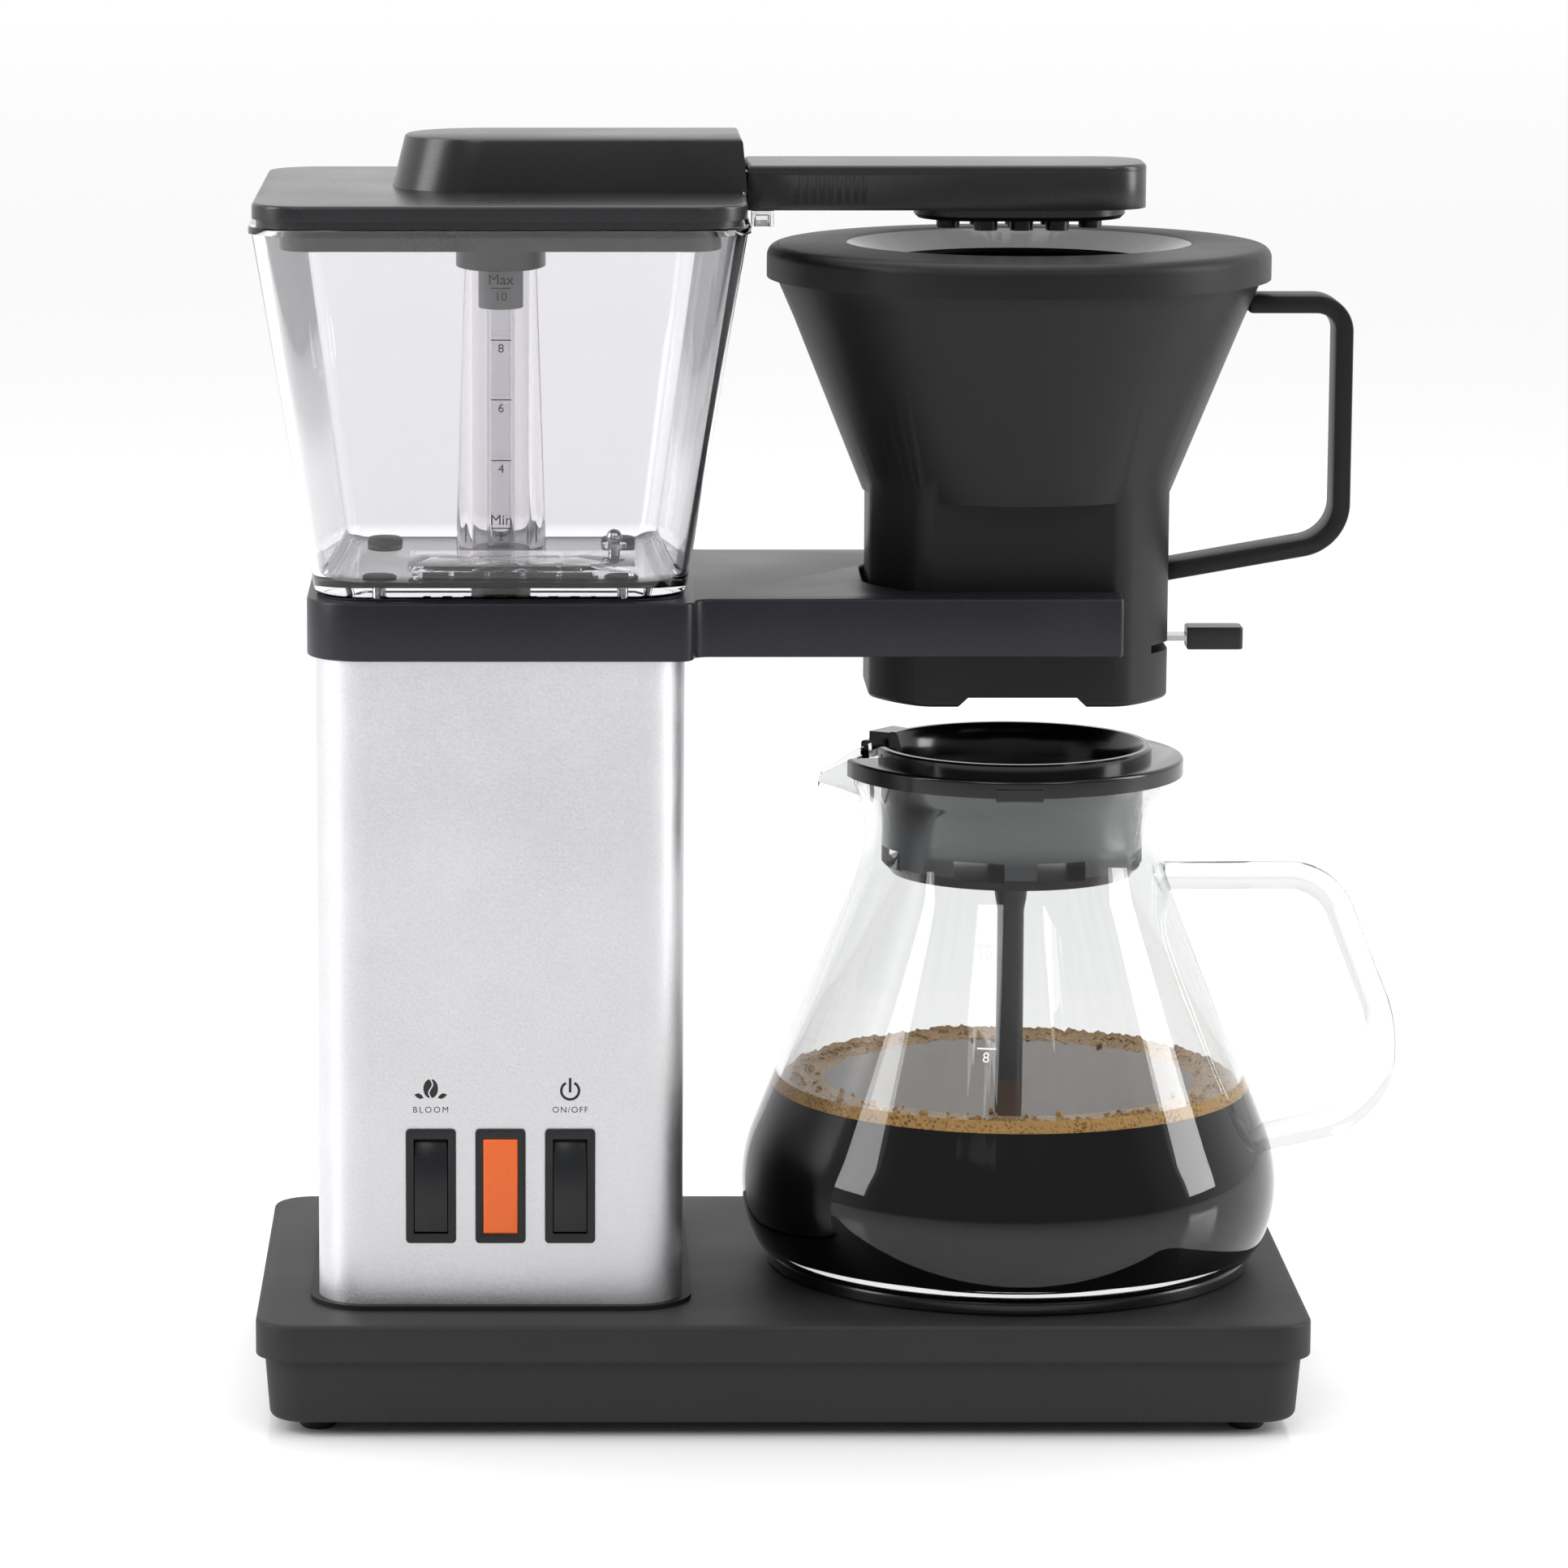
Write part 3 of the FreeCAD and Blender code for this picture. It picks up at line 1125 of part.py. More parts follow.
def make_basket():
    """The bowl and the neck in one moulding, with its grooves, drip tube, slot and notches."""
    body = new_body("brew_basket")
    at = (brew_x, 0)
    seat = place("basket_seat", ring_bottom + 5.6)
    outer = [(0, bowl_bottom), (s.bowl_foot, bowl_bottom), (s.bowl_top, bowl_shoulder)]
    outer += [(s.rim_radius, ring_bottom), (s.rim_radius, seat), (0, seat)]
    spin(body, "Revolution", draw(body, "XZ", 0, [(outer, {})], at))
    per_radius = (bowl_shoulder - bowl_bottom) / (s.bowl_top - s.bowl_foot)
    neck_top = bowl_bottom + (s.neck_round - s.bowl_foot) * per_radius + 1.0
    pad(body, draw(body, "XY", neck_bottom, [neck_outline(0)], at), neck_top - neck_bottom)
    round_edges(body, 1.5, flat_at(neck_bottom))
    wall = s.bowl_wall
    floor = bowl_bottom + BOWL_FLOOR
    inner = [(0, floor), (s.bowl_foot - wall, floor), (s.bowl_top - wall, bowl_shoulder)]
    inner += [(s.rim_radius - wall, ring_bottom), (s.rim_radius - wall, seat + 1), (0, seat + 1)]
    spin(body, "Groove", draw(body, "XZ", 0, [(inner, {})], at))
    hollow = rounded(s.neck_width / 2 - s.neck_wall, s.neck_depth / 2 - 4.6, 22.0)
    pocket(body, draw(body, "XY", neck_bottom, [hollow], at), bowl_bottom - neck_bottom)
    web = rectangle(-(s.neck_width / 2 - 1), -13, s.neck_width / 2 - 1, 13)
    pad(body, draw(body, "XY", web_bottom, [web], at), WEB_THICKNESS)
    ring = [circle(0, 0, TUBE_RADIUS), circle(0, 0, TUBE_RADIUS - 2)]
    lift = web_bottom + WEB_THICKNESS - 0.4
    pad(body, draw(body, "XY", lift, ring, at), bowl_bottom + 0.5 - lift)
    drain = circle(0, 0, TUBE_RADIUS - 2)
    pocket(body, draw(body, "XY", floor + 1, [drain], at), BOWL_FLOOR + 2, True)
    pad(body, draw(body, "XY", lift, [circle(0, 0, 3.6)], at), 6.0)
    holes = [circle(0, s.port_offset, s.port_radius), circle(0, -s.port_offset, s.port_radius)]
    pocket(body, draw(body, "XY", web_bottom, holes, at), WEB_THICKNESS)
    pocket(body, draw(body, "XY", web_bottom, [circle(0, 0, PIVOT_RADIUS)], at), 5.0)
    gap = s.slide_gap
    inner_y = s.neck_depth / 2 + s.fork_gap - s.tongue_depth - gap
    reach = s.neck_width / 2 + 5
    groove_end = s.arm_end - GROOVE_STOP
    grooves = [rectangle(-reach, inner_y, groove_end, inner_y + 12)]
    grooves += [rectangle(-reach, -inner_y - 12, groove_end, -inner_y)]
    level = arm_bottom + TONGUE_START - gap
    pocket(body, draw(body, "XY", level, grooves, at), s.tongue_height + gap * 2)
    strip_z = place("strip_bottom", web_bottom - SEAL_THICKNESS - 0.2 - DISC_THICKNESS + STRIP_LIFT)
    margin = s.strip_width / 2 + 0.6
    swing_x, swing_y = cosine(s.lever_swing), sine(s.lever_swing)
    near, far = as_size(26.0), as_size(54.0)
    slot = [(near, margin), (near * swing_x - margin * swing_y, -near * swing_y - margin * swing_x)]
    far_y = -far * swing_y - margin * swing_x
    slot += [(far * swing_x - margin * swing_y, far_y), (far, far_y), (far, margin)]
    level = strip_z - 0.4
    pocket(body, draw(body, "XY", level, [(slot, {})], at), s.strip_thickness + 0.8)
    notch = [(-18.4, -1), (18.4, -1), (18.4, 0), (15.5, 2.8), (-15.5, 2.8), (-18.4, 0)]
    front = -(s.neck_depth / 2 + 2)
    pocket(body, draw(body, "XZ", front, [(notch, {})], (brew_x, neck_bottom)), s.neck_depth + 4, True)
    return body


def make_basket_handle():
    """The strap from the bowl's side, down and back to the neck."""
    out = s.strap_reach - s.strap_thickness / 2
    top_z = ring_bottom - 7.5
    foot_z = arm_top + 1.3
    points = [vector(brew_x + s.bowl_top + 1.2, 0, top_z), vector(brew_x + out, 0, top_z)]
    points += [vector(brew_x + out, 0, foot_z + 9.0), vector(brew_x + s.neck_width / 2 - 0.6, 0, foot_z)]
    half_w = (s.strap_width / 2).value
    half_t = (s.strap_thickness / 2).value
    start = points[0]
    corners = [FreeCAD.Vector(start.x, start.y + y, start.z + z)
               for y, z in ((-half_w, -half_t), (half_w, -half_t), (half_w, half_t), (-half_w, half_t))]
    section = Part.makePolygon(corners + corners[:1])
    return swept("basket_handle", points, [8.0, 13.0], section)


def make_basket_lid():
    """The ring over the basket's rim, dished towards the hole that the spray falls through."""
    seat = ring_bottom + 5.6
    outer = s.ring_radius
    inner = s.ring_radius - s.ring_wall
    top = ring_top
    bend = 3.4
    profile = [(inner, ring_bottom), (outer, ring_bottom)]
    profile += [(outer, top - bend - 0.8), (outer - bend, top - 0.8)]
    profile += [(s.ring_mouth + 1, top), (s.ring_mouth, top - 0.6), (s.ring_hole, top - 5.4)]
    profile += [(s.ring_hole + 1.2, top - 6.8), (s.ring_mouth + 1.5, seat), (inner, seat)]
    return turned("basket_lid", brew_x, profile, {2: (bend, 1)})


def make_drip_stop():
    """Seal, port disc, metal strip, knob and pivot screw under the web."""
    at = (brew_x, 0)
    seal = new_body("valve_seal")
    seal_z = web_bottom - SEAL_THICKNESS
    ports = [circle(0, s.port_offset, s.port_radius), circle(0, -s.port_offset, s.port_radius)]
    loops = [circle(0, 0, TUBE_RADIUS), circle(0, 0, PIVOT_RADIUS + 0.05), *ports]
    pad(seal, draw(seal, "XY", seal_z, loops, at), SEAL_THICKNESS)
    disc = new_body("valve_disc")
    disc_z = seal_z - 0.2 - DISC_THICKNESS
    loops = [circle(0, 0, TUBE_RADIUS + 1), circle(0, 0, PIVOT_RADIUS + 0.05), *ports]
    pad(disc, draw(disc, "XY", disc_z, loops, at), DISC_THICKNESS)
    strip_z = disc_z + STRIP_LIFT
    half = s.strip_width / 2
    slot = rectangle(4.0, -half, TUBE_RADIUS + 4, half)
    pocket(disc, draw(disc, "XY", strip_z, [slot], at), s.strip_thickness)
    reach = s.knob_reach - s.knob_length + 6
    strip = box("lever_strip", (brew_x + 4, -half, strip_z), (reach - 4, s.strip_width, s.strip_thickness))
    strip.Label = "lever_strip"
    knob = new_body("lever_knob")
    knob_z = strip_z + s.strip_thickness / 2 - s.knob_height / 2
    depth = s.knob_depth / 2
    start = s.knob_reach - s.knob_length
    bend = as_size(1.6)
    outline = [(start, -depth), (s.knob_reach - bend, -depth), (s.knob_reach, -depth + bend)]
    outline += [(s.knob_reach, depth - bend), (s.knob_reach - bend, depth), (start, depth)]
    pad(knob, draw(knob, "XY", knob_z, [(outline, {1: (bend, 1), 3: (bend, 1)})], at), s.knob_height)
    round_edges(knob, 0.6, flat_at(knob_z + s.knob_height))
    mouth = rectangle(-half, strip_z, half, strip_z + s.strip_thickness)
    pocket(knob, draw(knob, "YZ", brew_x + start, [mouth]), 6.0)
    screw_top = web_bottom + 4.6
    head_z = disc_z - 1.9
    shank = cylinder("pivot_shank", PIVOT_RADIUS, screw_top - head_z, (brew_x, 0, head_z))
    head = cylinder("pivot_head", 3.4, 1.6, (brew_x, 0, head_z))
    screw = joined("pivot_screw", [head, shank])
    return [seal, disc, strip, knob, screw]


# Carafe.


def glass_outline(inset, top):
    """The glass's half section about its axis, moved inwards by inset and closed at top."""
    inset = as_size(inset)
    belly_z = glass_bottom + 19
    low_arc, high_arc = 36 - inset, 44 - inset
    low_centre, high_centre = s.glass_belly - 36, s.glass_belly - 44
    floor_z = glass_bottom + inset * 1.25
    drop = belly_z - floor_z
    floor_x = low_centre + root(low_arc * low_arc - drop * drop)
    slope = as_size(21.83)
    shoulder = (high_centre + high_arc * cosine(slope), belly_z + high_arc * sine(slope))
    neck_z = glass_top - 20.5
    neck_arc, neck_centre = 38 + inset, s.glass_neck + 38
    throat = (neck_centre - neck_arc * cosine(slope), neck_z - neck_arc * sine(slope))
    flare_arc, flare_centre = 30 + inset, s.glass_neck + 30
    lip_z = glass_top - 6.5
    rise = lip_z - neck_z
    lip_x = flare_centre - root(flare_arc * flare_arc - rise * rise)
    corners = [(0, floor_z), (floor_x, floor_z), (s.glass_belly - inset, belly_z), shoulder, throat]
    corners += [(s.glass_neck - inset, neck_z), (lip_x, lip_z), (s.glass_rim - inset, top), (0, top)]
    return corners, {1: (low_arc, 1), 2: (high_arc, 1), 4: (neck_arc, -1), 5: (flare_arc, -1)}


def spout_section(half, low, top):
    """A U: straight sides on a half-round bottom."""
    half = as_size(half)
    corners = [(half, top), (-half, top), (-half, low + half), (0, low), (half, low + half)]
    return corners, {2: (half, 1), 3: (half, 1)}


SPOUT_SECTIONS = [(-38.0, 13.4, 16.0, 4.4), (-48.2, 9.8, 11.8, -0.4), (-56.4, 4.2, 9.8, -5.4)]


def make_carafe_glass():
    """The blown glass with its pouring spout."""
    body = new_body("carafe_glass")
    spin(body, "Revolution", draw(body, "XZ", 0, [glass_outline(0, glass_top)]))
    round_edges(body, 3.0, flat_at(glass_bottom))
    outer = []
    inner = []
    wall = 1.9
    for number, (x, half, low, top) in enumerate(SPOUT_SECTIONS):
        low_z, top_z = glass_top - low, glass_top + top
        outer.append(draw(body, "YZ", x, [spout_section(half, low_z, top_z)]))
        inner_x = x + 2.4 if number == 0 else x - 0.8 * number
        inner.append(draw(body, "YZ", inner_x, [spout_section(half - wall, low_z + wall, top_z + 3)]))
    loft(body, "AdditiveLoft", outer)
    loft(body, "SubtractiveLoft", inner)
    spin(body, "Groove", draw(body, "XZ", 0, [glass_outline(s.glass_wall, glass_top + 8)]))
    turn = FreeCAD.Rotation(FreeCAD.Vector(0, 0, 1), -s.spout_angle.value)
    body.Placement = FreeCAD.Placement(FreeCAD.Vector(), turn)
    bind(body, "Placement.Base.x", brew_x)
    return body


def make_carafe_handle():
    """The glass rod handle, from the throat out and down to the belly."""
    out = s.handle_reach - s.handle_radius
    high = glass_top - 34.0
    run = [(44.6, high), (out - 17.1, high), (out, high - 43.3), (out, high - 60.3)]
    run += [(out - 10.1, high - 72.8), (74.8, high - 78.1)]
    points = [vector(brew_x + x, 0, z) for x, z in run]
    section = ring_wire(points[0], FreeCAD.Vector(1, 0, 0), s.handle_radius.value)
    return swept("carafe_handle", points, [16.0, 40.0, 20.0, 22.0], section)


def make_carafe_lid():
    """The lid: flange over the glass rim, pouring ring, skirt with its windows."""
    t = carafe_lid_top
    skirt, flange, ring = s.carafe_skirt, s.carafe_flange, s.carafe_ring
    low = t - 37.5
    profile = [(4.2, low), (skirt - 2.8, low), (skirt, low + 3.5), (skirt, t - 4.8), (flange - 1.7, t - 4.8)]
    profile += [(flange - 1.7, t - 8.2), (flange, t - 8.2), (flange, t - 4.2), (flange - 1, t - 3.2)]
    profile += [(ring, t - 3.2), (ring, t - 0.6), (ring - 0.6, t), (ring - 2.1, t), (ring - 2.7, t - 0.6)]
    profile += [(skirt - 2, t - 6), (skirt - 2, low + 4), (skirt - 4, low + 2), (4.2, low + 2)]
    body = turned("carafe_lid", brew_x, profile, {7: (1.0, 1)})
    at = (brew_x, 0)
    gap_back, gap_front = as_size(150.0), as_size(191.4)
    gap = [(cosine(angle) * reach, sine(angle) * reach)
           for angle, reach in ((gap_back, 25), (gap_front, 25), (gap_front, 60), (gap_back, 60))]
    pocket(body, draw(body, "XY", t - 10.5, [(gap, {})], at), 12.0)
    tab_angle = as_size(135.0)
    tab = [(cosine(angle) * reach, sine(angle) * reach)
           for angle, reach in ((gap_back, 39.6), (tab_angle, 39.6), (tab_angle, 46.8), (gap_back, 46.8))]
    pad(body, draw(body, "XY", t - 3.7, [(tab, {})], at), 3.4)
    front_tab = rectangle(-8.0, -flange - 0.5, 5.3, -flange + 2.4)
    pad(body, draw(body, "XY", t - 9.0, [front_tab], at), 3.4)
    window_foot, window_top = low + 2.6, low + 8.5
    windows = [rectangle(4.6, window_foot, 18.6, window_top), rectangle(-18.6, window_foot, -4.6, window_top)]
    pocket(body, draw(body, "XZ", -(skirt + 1), windows, at), skirt * 2 + 2, True)
    pocket(body, draw(body, "YZ", brew_x - skirt - 1, windows), skirt * 2 + 2)
    return body


def make_mixing_stem():
    """The tube that leads fresh coffee to the bottom of the carafe."""
    t = carafe_lid_top
    foot, bore = glass_bottom + 6, 2.6
    profile = [(bore, foot), (s.stem_radius, foot), (s.stem_radius, t - 49.5), (5.8, t - 37.5)]
    profile += [(4.2, t - 37.5), (4.2, t - 34.5), (bore, t - 34.5)]
    return turned("mixing_stem", brew_x, profile)


sub_parts = [
    make_base_tray(),
    make_base_plate(),
    *make_base_fittings(),
    *make_hotplate(),
    *make_column(),
    make_support_arm(),
    *make_switches(),
    *make_boiler(),
    make_tank(),
    *make_tank_fittings(),
    make_tank_lid(),
    *make_spray_arm(),
    make_basket(),
    make_basket_handle(),
    make_basket_lid(),
    *make_drip_stop(),
    make_carafe_glass(),
    make_carafe_handle(),
    make_carafe_lid(),
    make_mixing_stem(),
]

doc.recompute()

problems = []
for item in doc.Objects:
    if "Invalid" in item.State or "Error" in item.State:
        problems.append(f"{item.Label}: {item.State}")
    base = getattr(item, "BaseFeature", None)
    if item.TypeId in ("PartDesign::Pocket", "PartDesign::Groove", "PartDesign::SubtractiveLoft") and base:
        if item.Shape.Volume > base.Shape.Volume - 0.01:
            problems.append(f"{item.Label}: cuts nothing")
for item in sub_parts:
    if item.Shape.isNull() or not item.Shape.isValid():
        problems.append(f"{item.Label}: no valid shape")
if problems:
    raise RuntimeError("; ".join(problems))

os.makedirs("parts", exist_ok=True)
for item in sub_parts:
    item.Shape.exportStep(f"parts/{item.Label}.step")
print(f"{len(sub_parts)} sub-parts written")
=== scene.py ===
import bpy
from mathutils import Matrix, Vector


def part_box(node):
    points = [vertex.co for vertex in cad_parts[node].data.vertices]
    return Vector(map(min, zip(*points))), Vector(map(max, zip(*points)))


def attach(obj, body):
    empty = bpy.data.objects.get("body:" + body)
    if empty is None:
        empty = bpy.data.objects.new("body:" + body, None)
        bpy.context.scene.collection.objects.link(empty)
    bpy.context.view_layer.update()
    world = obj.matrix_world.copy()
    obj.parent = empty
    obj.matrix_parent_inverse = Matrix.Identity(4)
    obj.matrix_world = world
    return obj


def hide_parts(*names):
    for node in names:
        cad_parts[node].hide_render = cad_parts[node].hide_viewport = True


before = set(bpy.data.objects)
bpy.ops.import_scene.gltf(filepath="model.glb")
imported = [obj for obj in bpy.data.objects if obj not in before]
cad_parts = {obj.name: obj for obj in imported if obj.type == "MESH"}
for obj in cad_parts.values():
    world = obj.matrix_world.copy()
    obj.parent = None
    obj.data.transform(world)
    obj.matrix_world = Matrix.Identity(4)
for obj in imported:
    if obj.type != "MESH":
        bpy.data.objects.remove(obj)     # dict: bodies, nodes, joints, record

"""Looks of a drip coffee maker: a low base with a hotplate, an aluminium column, a cast arm that holds
the filter basket over a glass carafe, a clear tank with its lid and the spray arm.

Every size is in metres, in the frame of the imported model. Sizes written in millimetres pass through mm().
"""

import logging
import math
import random
from contextlib import contextmanager
from dataclasses import dataclass
from enum import Enum
from typing import Callable, Iterator, Optional, Sequence, Union

import bmesh
import bpy
from mathutils import Vector
from mathutils.bvhtree import BVHTree

LOG = logging.getLogger("coffee_maker")
CAPITAL_SHARE = 0.69    # how much of a font's size its capitals take up
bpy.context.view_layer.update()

Point2 = tuple[float, float]
Point3 = tuple[float, float, float]


def mm(value: float) -> float:
    """Millimetres as metres.

    Args:
        value: A length in millimetres.

    Returns:
        The same length in metres.
    """
    return value / 1000.0


class Kind(Enum):
    """What a selection in edit mode is made of."""

    VERTS = "VERT"
    EDGES = "EDGE"
    FACES = "FACE"


class Side(Enum):
    """Left or right of the machine, as its user faces it."""

    LEFT = -1
    RIGHT = 1


# Modelling bench: what every piece is made with.


def focus(piece: bpy.types.Object) -> None:
    """Leaves one object selected and active, in object mode.

    Args:
        piece: The object to select.
    """
    if bpy.context.mode != "OBJECT":
        bpy.ops.object.mode_set(mode="OBJECT")
    bpy.ops.object.select_all(action="DESELECT")
    piece.select_set(True)
    bpy.context.view_layer.objects.active = piece


@contextmanager
def editing(piece: bpy.types.Object, kind: Kind = Kind.FACES) -> Iterator[None]:
    """Opens a piece in edit mode with nothing selected, and closes it again.

    Args:
        piece: The object to edit.
        kind: The selection mode to start in.

    Yields:
        Nothing: inside the with block the piece is in edit mode.
    """
    focus(piece)
    bpy.ops.object.mode_set(mode="EDIT")
    bpy.ops.mesh.select_mode(type=kind.value)
    bpy.ops.mesh.select_all(action="DESELECT")
    yield
    bpy.ops.object.mode_set(mode="OBJECT")


def choose(piece: bpy.types.Object, kind: Kind, test: Callable[..., bool]) -> int:
    """Selects what passes a test, in edit mode, and lets go of the rest.

    Args:
        piece: The object in edit mode.
        kind: Vertices, edges or faces.
        test: Gets a vertex's place, an edge's two places, or a face's middle and normal.

    Returns:
        How many were selected.
    """
    bpy.ops.mesh.select_mode(type=kind.value)
    mesh = bmesh.from_edit_mesh(piece.data)
    parts = {Kind.VERTS: mesh.verts, Kind.EDGES: mesh.edges, Kind.FACES: mesh.faces}[kind]
    count = 0
    for part in parts:
        if kind is Kind.VERTS:
            hit = test(part.co)
        elif kind is Kind.EDGES:
            hit = test(part.verts[0].co, part.verts[1].co)
        else:
            hit = test(part.calc_center_median(), part.normal)
        part.select_set(bool(hit))
        count += bool(hit)
    bmesh.update_edit_mesh(piece.data)
    return count


def at_level(level: float, slack: float = 1e-5) -> Callable[[Vector, Vector], bool]:
    """A test for edges that lie flat at one height.

    Args:
        level: The height.
        slack: How far off it an edge may lie.

    Returns:
        The test, for choose().
    """
    return lambda a, b: abs(a.z - level) < slack and abs(b.z - level) < slack


def pull(step: Point3) -> None:
    """Extrudes the selection and moves the new part by step.

    Args:
        step: How far the new part moves along x, y and z.
    """
    bpy.ops.mesh.extrude_region_move(TRANSFORM_OT_translate={"value": step})


def scale_about(centre: Point3, factors: Point3) -> None:
    """Scales the selection about a point.

    Args:
        centre: The point that stays still.
        factors: The factors along x, y and z.
    """
    bpy.ops.transform.resize(value=factors, center_override=centre)


def bevel_chosen(width: float, segments: int) -> None:
    """Rounds the selected edges.

    Args:
        width: How far back from the edge the rounding starts.
        segments: Facets across it.
    """
    bpy.ops.mesh.bevel(offset=width, segments=segments, profile=0.5, affect="EDGES", clamp_overlap=True)


def clean(piece: bpy.types.Object, merge: float = 1e-6) -> None:
    """Merges doubles and turns all faces outwards.

    Args:
        piece: The object to clean.
        merge: Vertices nearer to each other than this become one.
    """
    with editing(piece):
        bpy.ops.mesh.select_all(action="SELECT")
        bpy.ops.mesh.remove_doubles(threshold=merge)
        bpy.ops.mesh.normals_make_consistent(inside=False)


def apply_modifier(piece: bpy.types.Object, kind: str, **settings: Union[float, int, str, bool]) -> None:
    """Adds a modifier with its settings and applies it.

    Args:
        piece: The object that gets it.
        kind: The type of modifier.
        **settings: The modifier's own settings.
    """
    focus(piece)
    modifier = piece.modifiers.new(kind.title(), kind)
    for name, value in settings.items():
        setattr(modifier, name, value)
    bpy.ops.object.modifier_apply(modifier=modifier.name)


def soften(piece: bpy.types.Object, width: float, segments: int = 3, angle: float = 32.0) -> None:
    """Rounds every edge that is sharper than an angle in degrees.

    Args:
        piece: The object to round.
        width: How far back from the edge the rounding starts.
        segments: Facets across it.
        angle: Edges that turn by more than this, in degrees, are rounded.
    """
    apply_modifier(piece, "BEVEL", width=width, segments=segments, limit_method="ANGLE",
                   angle_limit=math.radians(angle), use_clamp_overlap=True)


def subtract(piece: bpy.types.Object, cutter: bpy.types.Object) -> None:
    """Cuts one closed piece out of another, and removes the cutter.

    Args:
        piece: The closed piece that is cut.
        cutter: The closed piece that cuts.
    """
    focus(piece)
    modifier = piece.modifiers.new("Cut", "BOOLEAN")
    modifier.operation = "DIFFERENCE"
    modifier.solver = "EXACT"
    modifier.object = cutter
    bpy.ops.object.modifier_apply(modifier=modifier.name)
    bpy.data.objects.remove(cutter)


def merged(name: str, pieces: Sequence[bpy.types.Object]) -> bpy.types.Object:
    """Joins pieces into one object.

    Args:
        name: The joined piece's name.
        pieces: What is joined, at least one object.

    Returns:
        The joined object.
    """
    focus(pieces[0])
    for piece in pieces:
        piece.select_set(True)
    if len(pieces) > 1:
        bpy.ops.object.join()
    pieces[0].name = name
    return pieces[0]


def block(name: str, low: Point3, high: Point3) -> bpy.types.Object:
    """A cube stretched between two corners, as a start for a piece.

    Args:
        name: The piece's name.
        low: Its left, front and lower corner.
        high: Its right, rear and upper corner.

    Returns:
        The new object.
    """
    middle = [(a + b) / 2 for a, b in zip(low, high)]
    bpy.ops.mesh.primitive_cube_add(size=1.0, location=middle)
    piece = bpy.context.object
    piece.name = name
    piece.scale = [b - a for a, b in zip(low, high)]
    bpy.ops.object.transform_apply(location=True, rotation=False, scale=True)
    return piece


def slab(name: str, middle: Point2, half: Point2, corner: float, bottom: float, top: float,
         segments: int = 14) -> bpy.types.Object:
    """A block with round upright corners.

    Args:
        name: The piece's name.
        middle: Its middle in plan.
        half: Half its width and half its depth.
        corner: The radius of the upright corners.
        bottom: Its lower height.
        top: Its upper height.
        segments: Facets in each corner.

    Returns:
        The new object.
    """
    low = (middle[0] - half[0], middle[1] - half[1], bottom)
    high = (middle[0] + half[0], middle[1] + half[1], top)
    piece = block(name, low, high)
    with editing(piece, Kind.EDGES):
        choose(piece, Kind.EDGES, lambda a, b: abs(a.z - b.z) > (top - bottom) / 2)
        bevel_chosen(corner, segments)
    return piece


def chain(name: str, points: Sequence[Point3]) -> bpy.types.Object:
    """A line of edges, drawn from one vertex by extruding it from point to point.

    Args:
        name: The piece's name.
        points: The places that the line passes, in order.

    Returns:
        The new object.
    """
    bpy.ops.mesh.primitive_plane_add(size=mm(1), location=points[0])
    piece = bpy.context.object
    piece.name = name
    bpy.ops.object.transform_apply(location=True, rotation=False, scale=False)
    with editing(piece, Kind.VERTS):
        bpy.ops.mesh.select_all(action="SELECT")
        bpy.ops.mesh.merge(type="CENTER")
        for start, end in zip(points, points[1:]):
            pull(tuple(b - a for a, b in zip(start, end)))
    return piece


def turned(name: str, axis: Point2, profile: Sequence[Point2], steps: int = 128) -> bpy.types.Object:
    """A piece spun about an upright axis.

    Args:
        name: The piece's name.
        axis: Where the axis stands in plan.
        profile: Radius and height of each point, ending where it starts or on the axis.
        steps: Facets in a full turn.

    Returns:
        The new object.
    """
    piece = chain(name, [(axis[0] + r, axis[1], z) for r, z in profile])
    with editing(piece, Kind.VERTS):
        bpy.ops.mesh.select_all(action="SELECT")
        bpy.ops.mesh.spin(steps=steps, angle=math.tau, center=(axis[0], axis[1], 0), axis=(0, 0, 1))
    clean(piece)
    return piece


def raised(name: str, outline: Sequence[Point2], bottom: float, top: float) -> bpy.types.Object:
    """A flat outline drawn in plan and pulled up into a solid.

    Args:
        name: The piece's name.
        outline: The outline's points in plan, all the way round.
        bottom: Its lower height.
        top: Its upper height.

    Returns:
        The new object.
    """
    piece = chain(name, [(x, y, bottom) for x, y in outline])
    with editing(piece, Kind.VERTS):
        bpy.ops.mesh.select_all(action="SELECT")
        bpy.ops.mesh.edge_face_add()
        bpy.ops.mesh.select_all(action="SELECT")
        pull((0, 0, top - bottom))
    clean(piece)
    return piece


def arc(centre: Point2, radius: float, start: float, end: float, steps: int = 10) -> list[Point2]:
    """Points along an arc, with its angles in degrees.

    Args:
        centre: The arc's centre.
        radius: Its radius.
        start: The angle of the first point.
        end: The angle of the last point.
        steps: Stretches between the points.

    Returns:
        The points, first to last.
    """
    turns = [math.radians(start + (end - start) * step / steps) for step in range(steps + 1)]
    return [(centre[0] + radius * math.cos(turn), centre[1] + radius * math.sin(turn)) for turn in turns]


